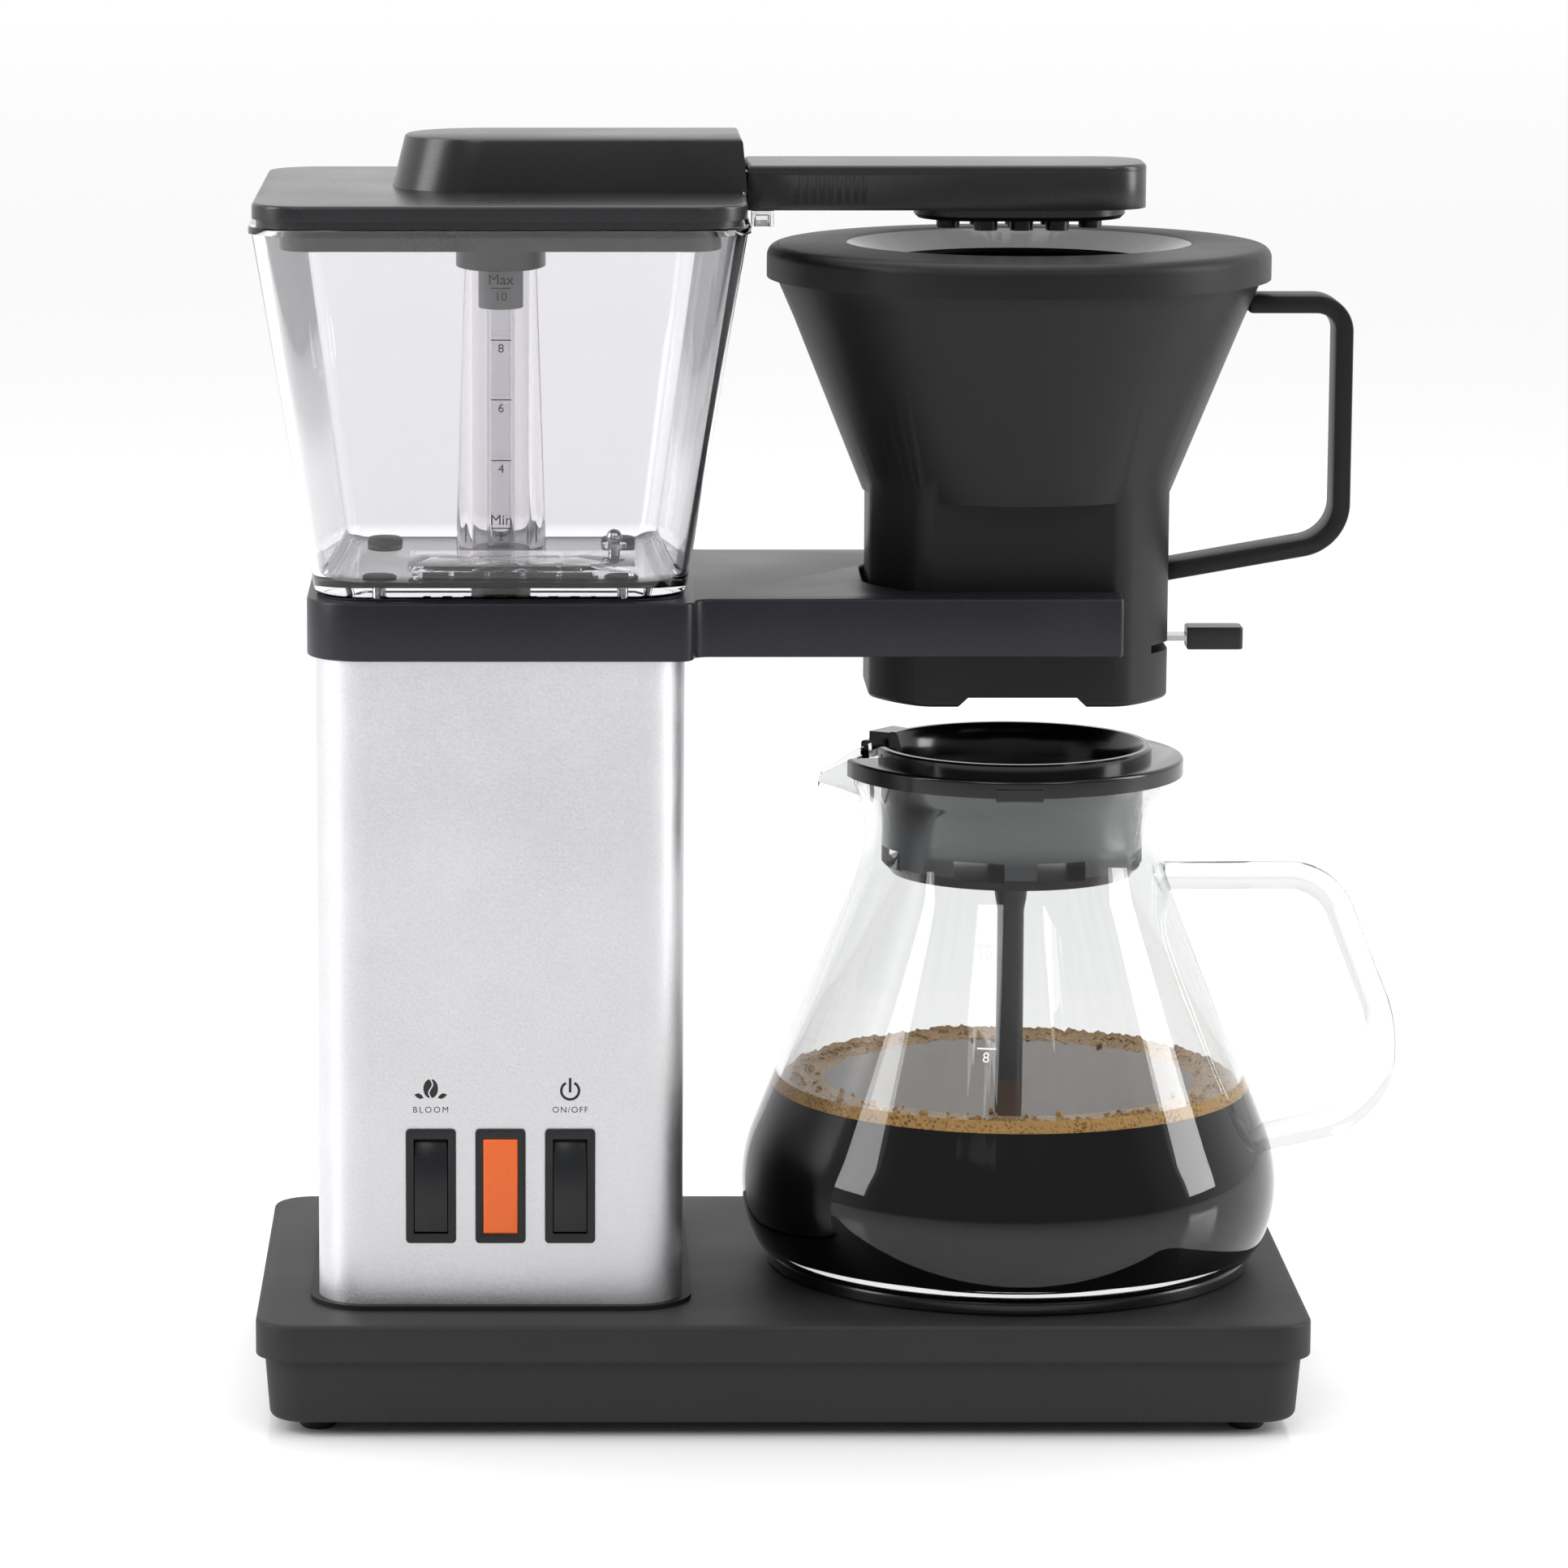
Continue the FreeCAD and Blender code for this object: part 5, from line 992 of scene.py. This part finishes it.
@dataclass
class Column(Assembly):
    """The aluminium tube with its switches and lamp, and the boiler set inside it."""

    corner: float = mm(15)
    wall: float = mm(2.0)
    hole_half: Point2 = (mm(6.2), mm(15.3))

    def build(self) -> None:
        """Builds and dresses the column."""
        self.make_tube()
        for node, label in (("switch_housing_left", "bezel_left"), ("switch_housing_right", "bezel_right"),
                            ("lamp_housing", "bezel_lamp")):
            piece = smooth_copy(node, label, mm(0.25))
            self.hand_over(piece, "nylon_rocker_black", "black_plastic", [node])
        for side in Side:
            node = f"rocker_{side.name.lower()}"
            piece = smooth_copy(node, f"{node}_button", mm(0.45))
            self.hand_over(piece, "nylon_rocker_black", "black_plastic", [node], body=node)
        lens = smooth_copy("lamp_lens", "lamp_window", mm(0.3))
        self.hand_over(lens, "polycarbonate_orange", "orange_lens", ["lamp_lens"])
        self.print_marks()
        self.keep("brass_tab", ["switch_terminals"])
        self.keep("pvc_wire", ["switch_wires"])
        self.keep("aluminium_plain", ["boiler_tube", "boiler_block"])
        self.keep("stainless_steel", ["thermostat", "thermal_fuse", "hose_clamps", "check_valve_ball"])
        self.keep("nylon_dark_grey", ["check_valve"])
        self.keep("silicone_milky", ["inlet_hose", "outlet_hose", "riser_grommet", "tube_sleeve"])

    def print_marks(self) -> None:
        """A bean over the left rocker, the on and off sign over the right one, and a word under each."""
        left, right = middle_of("rocker_left")[0], middle_of("rocker_right")[0]
        words = [stamp(lettering("BLOOM", mm(1.7), 1.35), front_of("column_shell", left, mm(91.6))),
                 stamp(lettering("ON/OFF", mm(1.7), 1.2), front_of("column_shell", right, mm(91.6)))]
        self.hand_over(merged("switch_words", words), "ink_black", "black_plastic")
        signs = self.draw_bean(left, mm(97.8)) + self.draw_power(right, mm(97.2))
        self.hand_over(merged("switch_signs", signs), "ink_black", "black_plastic")

    def draw_bean(self, x: float, z: float) -> list[bpy.types.Object]:
        """A coffee bean with its crease, over two leaves.

        Args:
            x: The sign's place across.
            z: Its height.

        Returns:
            The pieces of the sign.
        """
        spot = front_of("column_shell", x, z)
        steps = 8
        crease = [(math.sin(math.tau * step / steps) * mm(0.55), mm(2.7) - mm(5.4) * step / steps)
                  for step in range(steps + 1)]
        gap = mm(0.2)
        pieces = []
        for side in (-1, 1):
            bulge = [(side * mm(2.1) * math.cos(turn), mm(2.8) * math.sin(turn))
                     for turn in (math.radians(-78 + 12 * step) for step in range(14))]
            inner = [(px + side * gap, py * 0.93) for px, py in crease]
            half = raised("bean_half", bulge + inner, -mm(0.02), mm(0.02))
            pieces.append(stamp(half, spot))
            leaf = [(side * px, py) for px, py in
                    [(mm(2.0), mm(-2.7)), (mm(2.6), mm(-1.8)), (mm(3.5), mm(-1.3)), (mm(4.7), mm(-1.7)),
                     (mm(4.0), mm(-2.5)), (mm(3.0), mm(-3.0))]]
            pieces.append(stamp(raised("leaf", leaf, -mm(0.02), mm(0.02)), spot))
        return pieces

    def draw_power(self, x: float, z: float) -> list[bpy.types.Object]:
        """An open ring with a bar in its gap.

        Args:
            x: The sign's place across.
            z: Its height.

        Returns:
            The pieces of the sign.
        """
        spot = front_of("column_shell", x, z)
        ring = arc((0, 0), mm(2.9), 118, 422, 32) + arc((0, 0), mm(2.15), 422, 118, 32)
        bar = dash(mm(0.75), mm(4.2))
        return [stamp(raised("ring", ring, -mm(0.02), mm(0.02)), spot), stamp(bar, spot, (0.0, mm(1.6)))]

    def make_tube(self) -> None:
        """The extruded tube with three openings in its front wall."""
        low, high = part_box("column_shell")
        half = ((high.x - low.x) / 2, high.y)
        piece = slab("column_tube", middle_of("column_shell"), half, self.corner, low.z, high.z, 20)
        with editing(piece):
            choose(piece, Kind.FACES, lambda c, n: n.z > 0.9)
            bpy.ops.mesh.inset(thickness=self.wall)
            pull((0, 0, low.z - high.z + mm(0.001)))
            bpy.ops.mesh.delete(type="FACE")
            choose(piece, Kind.FACES, lambda c, n: n.z < -0.9)
            bpy.ops.mesh.inset(thickness=self.wall)
            bpy.ops.mesh.delete(type="FACE")
            bpy.ops.mesh.select_all(action="SELECT")
            bpy.ops.mesh.remove_doubles(threshold=mm(0.01))
        for node in ("switch_housing_left", "lamp_housing", "switch_housing_right"):
            x = middle_of(node)[0]
            low_z, high_z = (corner.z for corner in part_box(node))
            z = (low_z + high_z) / 2
            cutter = block("panel_hole", (x - self.hole_half[0], low.y - mm(5), z - self.hole_half[1]),
                           (x + self.hole_half[0], low.y + mm(8), z + self.hole_half[1]))
            subtract(piece, cutter)
        self.hand_over(piece, "aluminium_bead_blasted", "aluminium", ["column_shell"])


def neck_outline(centre: Point2, half: Point2, reach: float, blend: float) -> list[Point2]:
    """The neck's section: a circle with four flats, blended where they meet.

    Args:
        centre: The neck's axis in plan.
        half: Half the distance between opposite flats, across and front to back.
        reach: The circle's radius.
        blend: The radius of the eight blends.

    Returns:
        The points of the outline, all the way round.
    """
    inner = reach - blend
    flat_x = math.sqrt(inner ** 2 - (half[1] - blend) ** 2)
    flat_y = math.sqrt(inner ** 2 - (half[0] - blend) ** 2)
    first = math.degrees(math.atan2(half[1] - blend, flat_x))
    last = math.degrees(math.atan2(flat_y, half[0] - blend))
    quarter = arc((flat_x, half[1] - blend), blend, 90, first, 8)
    quarter += arc((0, 0), reach, first, last, 10)[1:-1]
    quarter += arc((half[0] - blend, flat_y), blend, last, 0, 8)
    lower = [(x, -y) for x, y in reversed(quarter)]
    right = quarter + lower
    left = [(-x, y) for x, y in reversed(right)]
    return [(centre[0] + x, centre[1] + y) for x, y in right + left]


@dataclass
class Arm(Assembly):
    """The casting that caps the column and reaches to the fork round the basket's neck."""

    side: float = mm(2.5)
    front: float = mm(1.4)
    half_depth: float = mm(53.3)
    gap: float = mm(1.5)

    def build(self) -> None:
        """Builds and dresses the arm."""
        low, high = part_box("support_arm")
        column_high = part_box("column_shell")[1]
        x, _ = middle_of("column_shell")
        half = (column_high.x - x + self.side, high.y)
        corner = mm(15) + self.front
        sway = (half[1] - self.half_depth) / 2
        right = x + half[0]
        upper = [(high.x, self.half_depth), (right + sway, self.half_depth)]
        upper += arc((right + sway, self.half_depth + sway), sway, 270, 180, 6)[1:]
        upper += arc((right - sway, half[1] - sway), sway, 0, 90, 6)
        upper += arc((x - half[0] + corner, half[1] - corner), corner, 90, 180, 16)
        lower = [(px, -py) for px, py in reversed(upper)]
        piece = raised("arm_casting", upper + lower, low.z, high.z)
        with editing(piece, Kind.EDGES):
            choose(piece, Kind.EDGES,
                   lambda a, b: min(a.x, b.x) > high.x - mm(1) and abs(a.z - b.z) > mm(5))
            bevel_chosen(mm(1.4), 4)
        axis = middle_of("hotplate")
        cut = neck_outline(axis, (mm(43) + self.gap, mm(36.2) + self.gap), mm(46) + self.gap, mm(10))
        past = high.x + mm(8)
        inner = mm(36.2) + self.gap
        closed_end = [(px, py) for px, py in cut if px < axis[0]]
        closed_end.sort(key=lambda p: math.atan2(p[1], p[0] - axis[0]) % math.tau)
        fork = [(past, -inner), (past, inner)] + closed_end
        cutter = raised("fork_opening", fork, low.z - mm(4), high.z + mm(4))
        subtract(piece, cutter)
        soften(piece, mm(0.7), 3, 40)
        rails = []
        for sign in (-1, 1):
            y0, y1 = sorted((sign * (inner - mm(3.3)), sign * (inner + mm(1))))
            rail = block("rail", (axis[0] - mm(25.6), y0, low.z + mm(6)),
                         (high.x - mm(2), y1, low.z + mm(11)))
            soften(rail, mm(0.5), 2)
            rails.append(rail)
        casting = merged("arm_casting", [piece] + rails)
        self.hand_over(casting, "powder_coated_casting", "dark_casting", ["support_arm"])


@dataclass
class Tank(Assembly):
    """The clear tank, its riser post and what stands on its floor."""

    wall: float = mm(2.2)
    floor: float = mm(3.2)
    height: float = mm(104.9)
    corner: float = mm(15)
    bottom_half: Point2 = (mm(52.4), mm(58.8))
    top_half: Point2 = (mm(69.3), mm(73.7))
    rim_half: Point2 = (mm(70.2), mm(74.5))
    rim_height: float = mm(2.0)
    post_height: float = mm(85.2)
    post_bore: float = mm(8.4)
    plug_reach: Point2 = (mm(34.5), mm(42))
    plug_radius: float = mm(5.2)
    mark_heights: tuple[tuple[int, float], ...] = (
        (10, mm(326.4)), (8, mm(311.8)), (6, mm(294.9)), (4, mm(277.6)), (2, mm(258.2)))

    def build(self) -> None:
        """Builds and dresses the tank."""
        self.make_shell()
        self.make_post()
        self.make_riser()
        self.make_floor_pieces()
        self.print_scale()
        self.keep("rubber_black", ["tank_seal"])

    def make_shell(self) -> None:
        """The tank wall, drawn from its floor up to the rim and down inside again."""
        x, y = middle_of("column_shell")
        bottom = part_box("tank_seal")[1].z
        top = bottom + self.height
        under_rim = top - self.rim_height
        piece = slab("tank_shell", (x, y), self.bottom_half, self.corner, bottom, under_rim, 16)
        grow = tuple(t / b for t, b in zip(self.top_half, self.bottom_half))
        rim = tuple(r / t for r, t in zip(self.rim_half, self.top_half))
        inner_top = tuple((t - self.wall) / r for t, r in zip(self.top_half, self.rim_half))
        slope = tuple((t - b) / (top - bottom) for t, b in zip(self.top_half, self.bottom_half))
        inside = tuple(b + s * self.floor - self.wall for b, s in zip(self.bottom_half, slope))
        inner_low = tuple(i / (t - self.wall) for i, t in zip(inside, self.top_half))
        with editing(piece):
            choose(piece, Kind.VERTS, lambda c: c.z > under_rim - mm(1))
            scale_about((x, y, under_rim), (grow[0], grow[1], 1))
            choose(piece, Kind.EDGES, at_level(bottom))
            bevel_chosen(mm(1.5), 4)
            choose(piece, Kind.FACES, lambda c, n: n.z > 0.9)
            pull((0, 0, 0))
            scale_about((x, y, under_rim), (rim[0], rim[1], 1))
            pull((0, 0, self.rim_height))
            pull((0, 0, 0))
            scale_about((x, y, top), (inner_top[0], inner_top[1], 1))
            pull((0, 0, bottom + self.floor - top))
            scale_about((x, y, bottom + self.floor), (inner_low[0], inner_low[1], 1))
            choose(piece, Kind.EDGES, at_level(bottom + self.floor))
            bevel_chosen(mm(4), 6)
            choose(piece, Kind.EDGES, at_level(top))
            bevel_chosen(mm(0.5), 3)
        self.hand_over(piece, "san_clear", "clear_tank", ["water_tank"], angle=40)

    def make_post(self) -> None:
        """The clear tapered post round the riser, the plugs over the screws and the spray arm's rest."""
        axis = middle_of("column_shell")
        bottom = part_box("tank_seal")[1].z + self.floor + mm(0.05)
        top = bottom + self.post_height
        bore = self.post_bore
        profile = [(bore, bottom), (mm(13.2), bottom), (mm(10.2), top - mm(0.5)), (mm(9.7), top)]
        profile += [(bore + mm(0.5), top), (bore, top - mm(0.5)), (bore, bottom)]
        post = turned("riser_post", axis, profile, 64)
        self.hand_over(post, "san_clear", "clear_tank")
        reach = self.plug_reach
        spots = [(axis[0] + sx * reach[0], axis[1] + sy * reach[1]) for sx in (-1, 1) for sy in (-1, 1)]
        cap = bottom + mm(1.4)
        wide = self.plug_radius
        plug = [(0, bottom), (wide, bottom), (wide - mm(0.1), cap + mm(0.2)), (wide - mm(0.8), cap + mm(0.7))]
        plug += [(mm(2.4), cap + mm(0.9)), (0, cap + mm(0.95))]
        plugs = [turned("boss_plugs", spot, plug, 40) for spot in spots]
        self.hand_over(merged("boss_plugs", plugs), "rubber_black", "rubber")
        rest_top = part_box("spray_arm_body")[0].z - mm(0.3)
        rest = block("arm_rest", (axis[0] + mm(71.5), -mm(16), rest_top - mm(4.5)),
                     (axis[0] + mm(77.8), -mm(2), rest_top))
        with editing(rest):
            choose(rest, Kind.FACES, lambda c, n: n.z < -0.9)
            bpy.ops.mesh.inset(thickness=mm(1.0))
            pull((0, 0, mm(3.2)))
        soften(rest, mm(0.3), 2)
        self.hand_over(rest, "san_clear", "clear_tank")

    def make_riser(self) -> None:
        """The clear riser tube inside the post."""
        low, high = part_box("riser_tube")
        outer, inner = mm(4.0), mm(2.8)
        profile = [(inner, low.z), (outer, low.z), (outer, high.z - mm(0.3)), (outer - mm(0.3), high.z)]
        profile += [(inner, high.z), (inner, low.z)]
        riser = turned("clear_riser", middle_of("riser_tube"), profile, 48)
        self.hand_over(riser, "san_clear", "clear_tank", ["riser_tube"])

    def print_scale(self) -> None:
        """The fill marks on the front wall: a line for every second cup, with Max and Min."""
        x = middle_of("column_shell")[0] + mm(0.4)
        marks = []
        ends = {10: "Max", 2: "Min"}
        for cups, height in self.mark_heights:
            spot = front_of("water_tank", x, height)
            marks.append(stamp(dash(mm(5.6), mm(0.32)), spot))
            marks.append(stamp(lettering(str(cups), mm(2.4)), spot, (0.0, mm(-2.5))))
            if cups in ends:
                marks.append(stamp(lettering(ends[cups], mm(2.9)), spot, (0.0, mm(2.3))))
        self.hand_over(merged("fill_scale", marks), "ink_black", "black_plastic")

    def make_floor_pieces(self) -> None:
        """The floor plate, strainer, level probe and screws."""
        plate = smooth_copy("tank_floor_plate", "floor_grid", mm(0.25))
        self.hand_over(plate, "san_clear", "clear_tank", ["tank_floor_plate"])
        strainer = smooth_copy("inlet_strainer", "strainer_comb", mm(0.25))
        self.hand_over(strainer, "rubber_black", "black_plastic", ["inlet_strainer"])
        probe = smooth_copy("level_probe", "float_ball", 0.0)
        self.hand_over(probe, "stainless_steel", "steel", ["level_probe"])
        self.keep("stainless_steel", ["tank_screws"])


@dataclass
class Lid(Assembly):
    """The tank lid, its cover, and the spray arm with its head."""

    body: str = "lid"

    def build(self) -> None:
        """Builds and dresses the lid."""
        for node, label, width, finish in (
                ("tank_lid", "tank_lid_shell", 0.0, "abs_satin_black"),
                ("lid_cover", "lid_dome", 0.0, "abs_satin_black"),
                ("spray_arm_body", "spray_channel", 0.25, "abs_satin_black"),
                ("spray_arm_cap", "spray_channel_cap", 0.0, "abs_satin_black"),
                ("shower_head", "shower_rose", 0.0, "abs_satin_black")):
            piece = smooth_copy(node, label, mm(width))
            self.hand_over(piece, finish, "black_plastic", [node])


@dataclass
class Basket(Assembly):
    """The filter basket with its strap handle, ring lid and drip stop."""

    body: str = "basket"
    funnel: float = mm(49.3)

    def build(self) -> None:
        """Builds and dresses the basket."""
        piece = smooth_copy("brew_basket", "filter_basket", 0.0)
        self.hand_over(piece, "polypropylene_matt_black", "black_plastic", ["brew_basket"])
        strap = smooth_copy("basket_handle", "basket_strap", mm(1.0))
        self.hand_over(strap, "polypropylene_matt_black", "black_plastic", ["basket_handle"])
        ring = smooth_copy("basket_lid", "basket_ring", 0.0)
        self.hand_over(ring, "polypropylene_matt_black", "dark_grey_plastic", ["basket_lid"],
                       body="basket_lid")
        axis = middle_of("hotplate")
        # The funnel faces get a grey colour as painted sheen on the polished black plastic.
        self.paint_part(ring, "polypropylene_funnel_painted_sheen",
                        lambda c: math.hypot(c.x - axis[0], c.y - axis[1]) < self.funnel)
        knob = smooth_copy("lever_knob", "drip_lever_grip", mm(0.6))
        self.hand_over(knob, "nylon_rocker_black", "black_plastic", ["lever_knob"], body="drip_lever")
        self.keep("silicone_milky", ["valve_seal"])
        self.keep("stainless_steel", ["pivot_screw", "lever_strip"])
        self.keep("nylon_dark_grey", ["valve_disc"])


@dataclass
class Carafe(Assembly):
    """The glass carafe with its handle, lid and coffee."""

    body: str = "carafe"
    fill: float = mm(88)
    foam_width: float = mm(13)
    wetting: float = mm(0.15)
    bubble_count: int = 420
    mark_offset: float = mm(10.7)
    mark_heights: tuple[tuple[int, float], ...] = ((10, mm(136.9)), (8, mm(109.1)))

    def build(self) -> None:
        """Builds and dresses the carafe."""
        glass = smooth_copy("carafe_glass", "carafe_bulb", 0.0)
        self.hand_over(glass, "borosilicate_glass", "glass", ["carafe_glass"])
        handle = smooth_copy("carafe_handle", "carafe_rod", 0.0)
        self.hand_over(handle, "borosilicate_glass", "glass", ["carafe_handle"])
        lid = smooth_copy("carafe_lid", "carafe_cap", 0.0)
        self.hand_over(lid, "polypropylene_lid_black", "gloss_black", ["carafe_lid"], body="carafe_lid")
        self.keep("polypropylene_stem_grey", ["mixing_stem"])
        self.make_coffee()
        self.print_marks()

    def inner_reach(self, height: float) -> float:
        """The glass's inner radius at a height, measured towards the front.

        Args:
            height: The height.

        Returns:
            The radius at that height.
        """
        axis = middle_of("hotplate")
        point, _ = surface_hit("carafe_glass", (axis[0], axis[1], height), (0.0, -1.0, 0.0))
        return axis[1] - point.y

    def make_coffee(self) -> None:
        """The coffee, which wets the glass, with foam and bubbles round its rim."""
        axis = middle_of("hotplate")
        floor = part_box("carafe_glass")[0].z + mm(3.2)
        steps = 26
        heights = [floor + (self.fill - floor) * step / steps for step in range(steps + 1)]
        wall = [(self.inner_reach(height) + self.wetting, height) for height in heights]
        coffee = turned("coffee", axis, [(0, floor)] + wall + [(0, self.fill)])
        self.hand_over(coffee, "coffee_liquid", "gloss_black")
        self.paint_part(coffee, "coffee_film", lambda middle: middle.z > self.fill - mm(0.1))
        rim = wall[-1][0]
        top, width = self.fill, self.foam_width
        foam = [(rim - width, top), (rim - width + mm(1), top + mm(0.35)), (rim - mm(2), top + mm(0.7))]
        foam += [(self.inner_reach(top + mm(1.4)) + self.wetting, top + mm(1.4))]
        foam += [(self.inner_reach(top - mm(2.0)) + self.wetting * 2, top - mm(2.0)), (rim - width, top)]
        crema = turned("crema", axis, foam)
        self.hand_over(crema, "coffee_crema", "dark_grey_plastic")
        self.hand_over(self.blow_bubbles(axis, rim), "coffee_crema", "dark_grey_plastic")

    def blow_bubbles(self, axis: Point2, rim: float) -> bpy.types.Object:
        """Half-sunk bubbles in and under the foam, all round.

        Args:
            axis: The glass's axis in plan.
            rim: The coffee's radius at its top.

        Returns:
            All the bubbles, as one object.
        """
        chance = random.Random(5)
        first = (axis[0], axis[1] - rim + mm(3), self.fill)
        bpy.ops.mesh.primitive_ico_sphere_add(subdivisions=1, radius=mm(0.6), location=first)
        piece = bpy.context.object
        piece.name = "bubbles"
        bpy.ops.object.transform_apply(location=True, rotation=False, scale=False)
        with editing(piece):
            for _ in range(self.bubble_count):
                turn = chance.uniform(0, math.tau)
                inset = abs(chance.gauss(0, mm(5.0)))
                size = chance.uniform(mm(0.3), mm(1.0))
                drop = chance.uniform(-mm(2.6), -mm(1.2)) if inset < mm(2.5) else mm(0.5)
                inset = mm(-0.5) if inset < mm(2.5) else inset
                reach = rim - size - inset
                spot = (axis[0] + reach * math.cos(turn), axis[1] + reach * math.sin(turn), self.fill + drop)
                bpy.ops.mesh.primitive_ico_sphere_add(subdivisions=2, radius=size, location=spot)
        return piece

    def print_marks(self) -> None:
        """Two white fill marks on the front of the glass."""
        x = middle_of("hotplate")[0] - self.mark_offset
        marks = []
        for cups, height in self.mark_heights:
            spot = front_of("carafe_glass", x, height)
            marks.append(stamp(dash(mm(5.4), mm(0.5)), spot, lift=mm(0.1)))
            marks.append(stamp(lettering(str(cups), mm(2.9)), spot, (0.0, mm(-2.7)), lift=mm(0.1)))
        self.hand_over(merged("cup_marks", marks), "ink_white", "glass")


@dataclass
class Studio:
    """Floor, lights and camera."""

    focal: float = 152.2
    pitch: float = 9.6155
    camera_place: Point3 = (mm(-85.1), mm(-1902.5), mm(497.5))
    shift: float = 0.1566
    floor_half: float = 14.0

    def build(self) -> None:
        """Sets up the studio."""
        self.lay_floor()
        self.hang_lights()
        self.place_camera()

    def lay_floor(self) -> None:
        """A white floor with a faint mirror in it, which also fills the background."""
        bpy.ops.mesh.primitive_plane_add(size=2 * self.floor_half, location=(0, 0, 0))
        floor = bpy.context.object
        floor.name = "studio_floor"
        material, _, shader, _ = shader_start("floor_paint")
        set_sockets(shader, Base_Color=linear("#fcfcfc"), Roughness=0.1, Specular_IOR_Level=0.1)
        floor.data.materials.append(material)

    def hang_lights(self) -> None:
        """Softboxes left, right and above, and a sky that is bright behind and dim in front."""
        world = bpy.data.worlds.new("studio_sky")
        world.use_nodes = True
        tree = world.node_tree
        place = add_node(tree, "ShaderNodeTexCoord")
        split = add_node(tree, "ShaderNodeSeparateXYZ", {0: place.outputs["Generated"]})
        behind = add_node(tree, "ShaderNodeMapRange",
                          {"Value": split.outputs["Y"], "From Min": -0.5, "From Max": 0.5,
                           "To Min": 0.32, "To Max": 1.1})
        above = add_node(tree, "ShaderNodeMapRange",
                         {"Value": split.outputs["Z"], "From Min": 0.2, "From Max": 0.8,
                          "To Min": 0.0, "To Max": 0.68})
        glow = add_node(tree, "ShaderNodeMath", {0: behind.outputs[0], 1: above.outputs[0]},
                        operation="MAXIMUM")
        tree.links.new(glow.outputs[0], tree.nodes["Background"].inputs["Strength"])
        tree.nodes["Background"].inputs["Color"].default_value = (1, 1, 1, 1)
        scene = bpy.context.scene
        scene.world = world
        scene.view_settings.view_transform = "Standard"
        for name, place, target, size, power in (
                ("key_left", (-1.9, -0.4, 1.1), (0, 0, 0.2), (0.9, 1.6), 26.0),
                ("strip_right", (1.9, -0.1, 0.9), (0, 0, 0.2), (0.6, 1.5), 22.0),
                ("front_left", (-0.75, -2.2, 2.0), (0, 0, 0.15), (0.9, 0.9), 9.0),
                ("front_right", (1.25, -2.0, 2.0), (0, 0, 0.15), (0.9, 0.9), 9.0),
                ("overhead", (0.0, 0.2, 2.0), (0, 0, 0), (1.8, 1.8), 12.0)):
            lamp = bpy.data.lights.new(name, "AREA")
            lamp.shape = "RECTANGLE"
            lamp.size, lamp.size_y = size
            lamp.energy = power
            holder = bpy.data.objects.new(name, lamp)
            holder.location = place
            aim = Vector(target) - Vector(place)
            holder.rotation_euler = aim.to_track_quat("-Z", "Y").to_euler()
            scene.collection.objects.link(holder)

    def place_camera(self) -> None:
        """A long lens from the front, slightly above."""
        data = bpy.data.cameras.new("front_view")
        data.lens = self.focal
        data.sensor_width = 36.0
        data.shift_x = self.shift
        data.clip_end = 100.0
        camera = bpy.data.objects.new("front_view", data)
        camera.location = self.camera_place
        camera.rotation_euler = (math.radians(90.0 - self.pitch), 0.0, 0.0)
        bpy.context.scene.collection.objects.link(camera)
        bpy.context.scene.camera = camera


def main() -> None:
    logging.basicConfig(level=logging.INFO, format="%(name)s %(message)s")
    finishes = Finishes()
    Studio().build()
    for assembly in (Base(finishes), Column(finishes), Arm(finishes), Tank(finishes), Lid(finishes),
                     Basket(finishes), Carafe(finishes)):
        LOG.info("building %s", type(assembly).__name__)
        assembly.build()


if __name__ == "__main__":
    main()
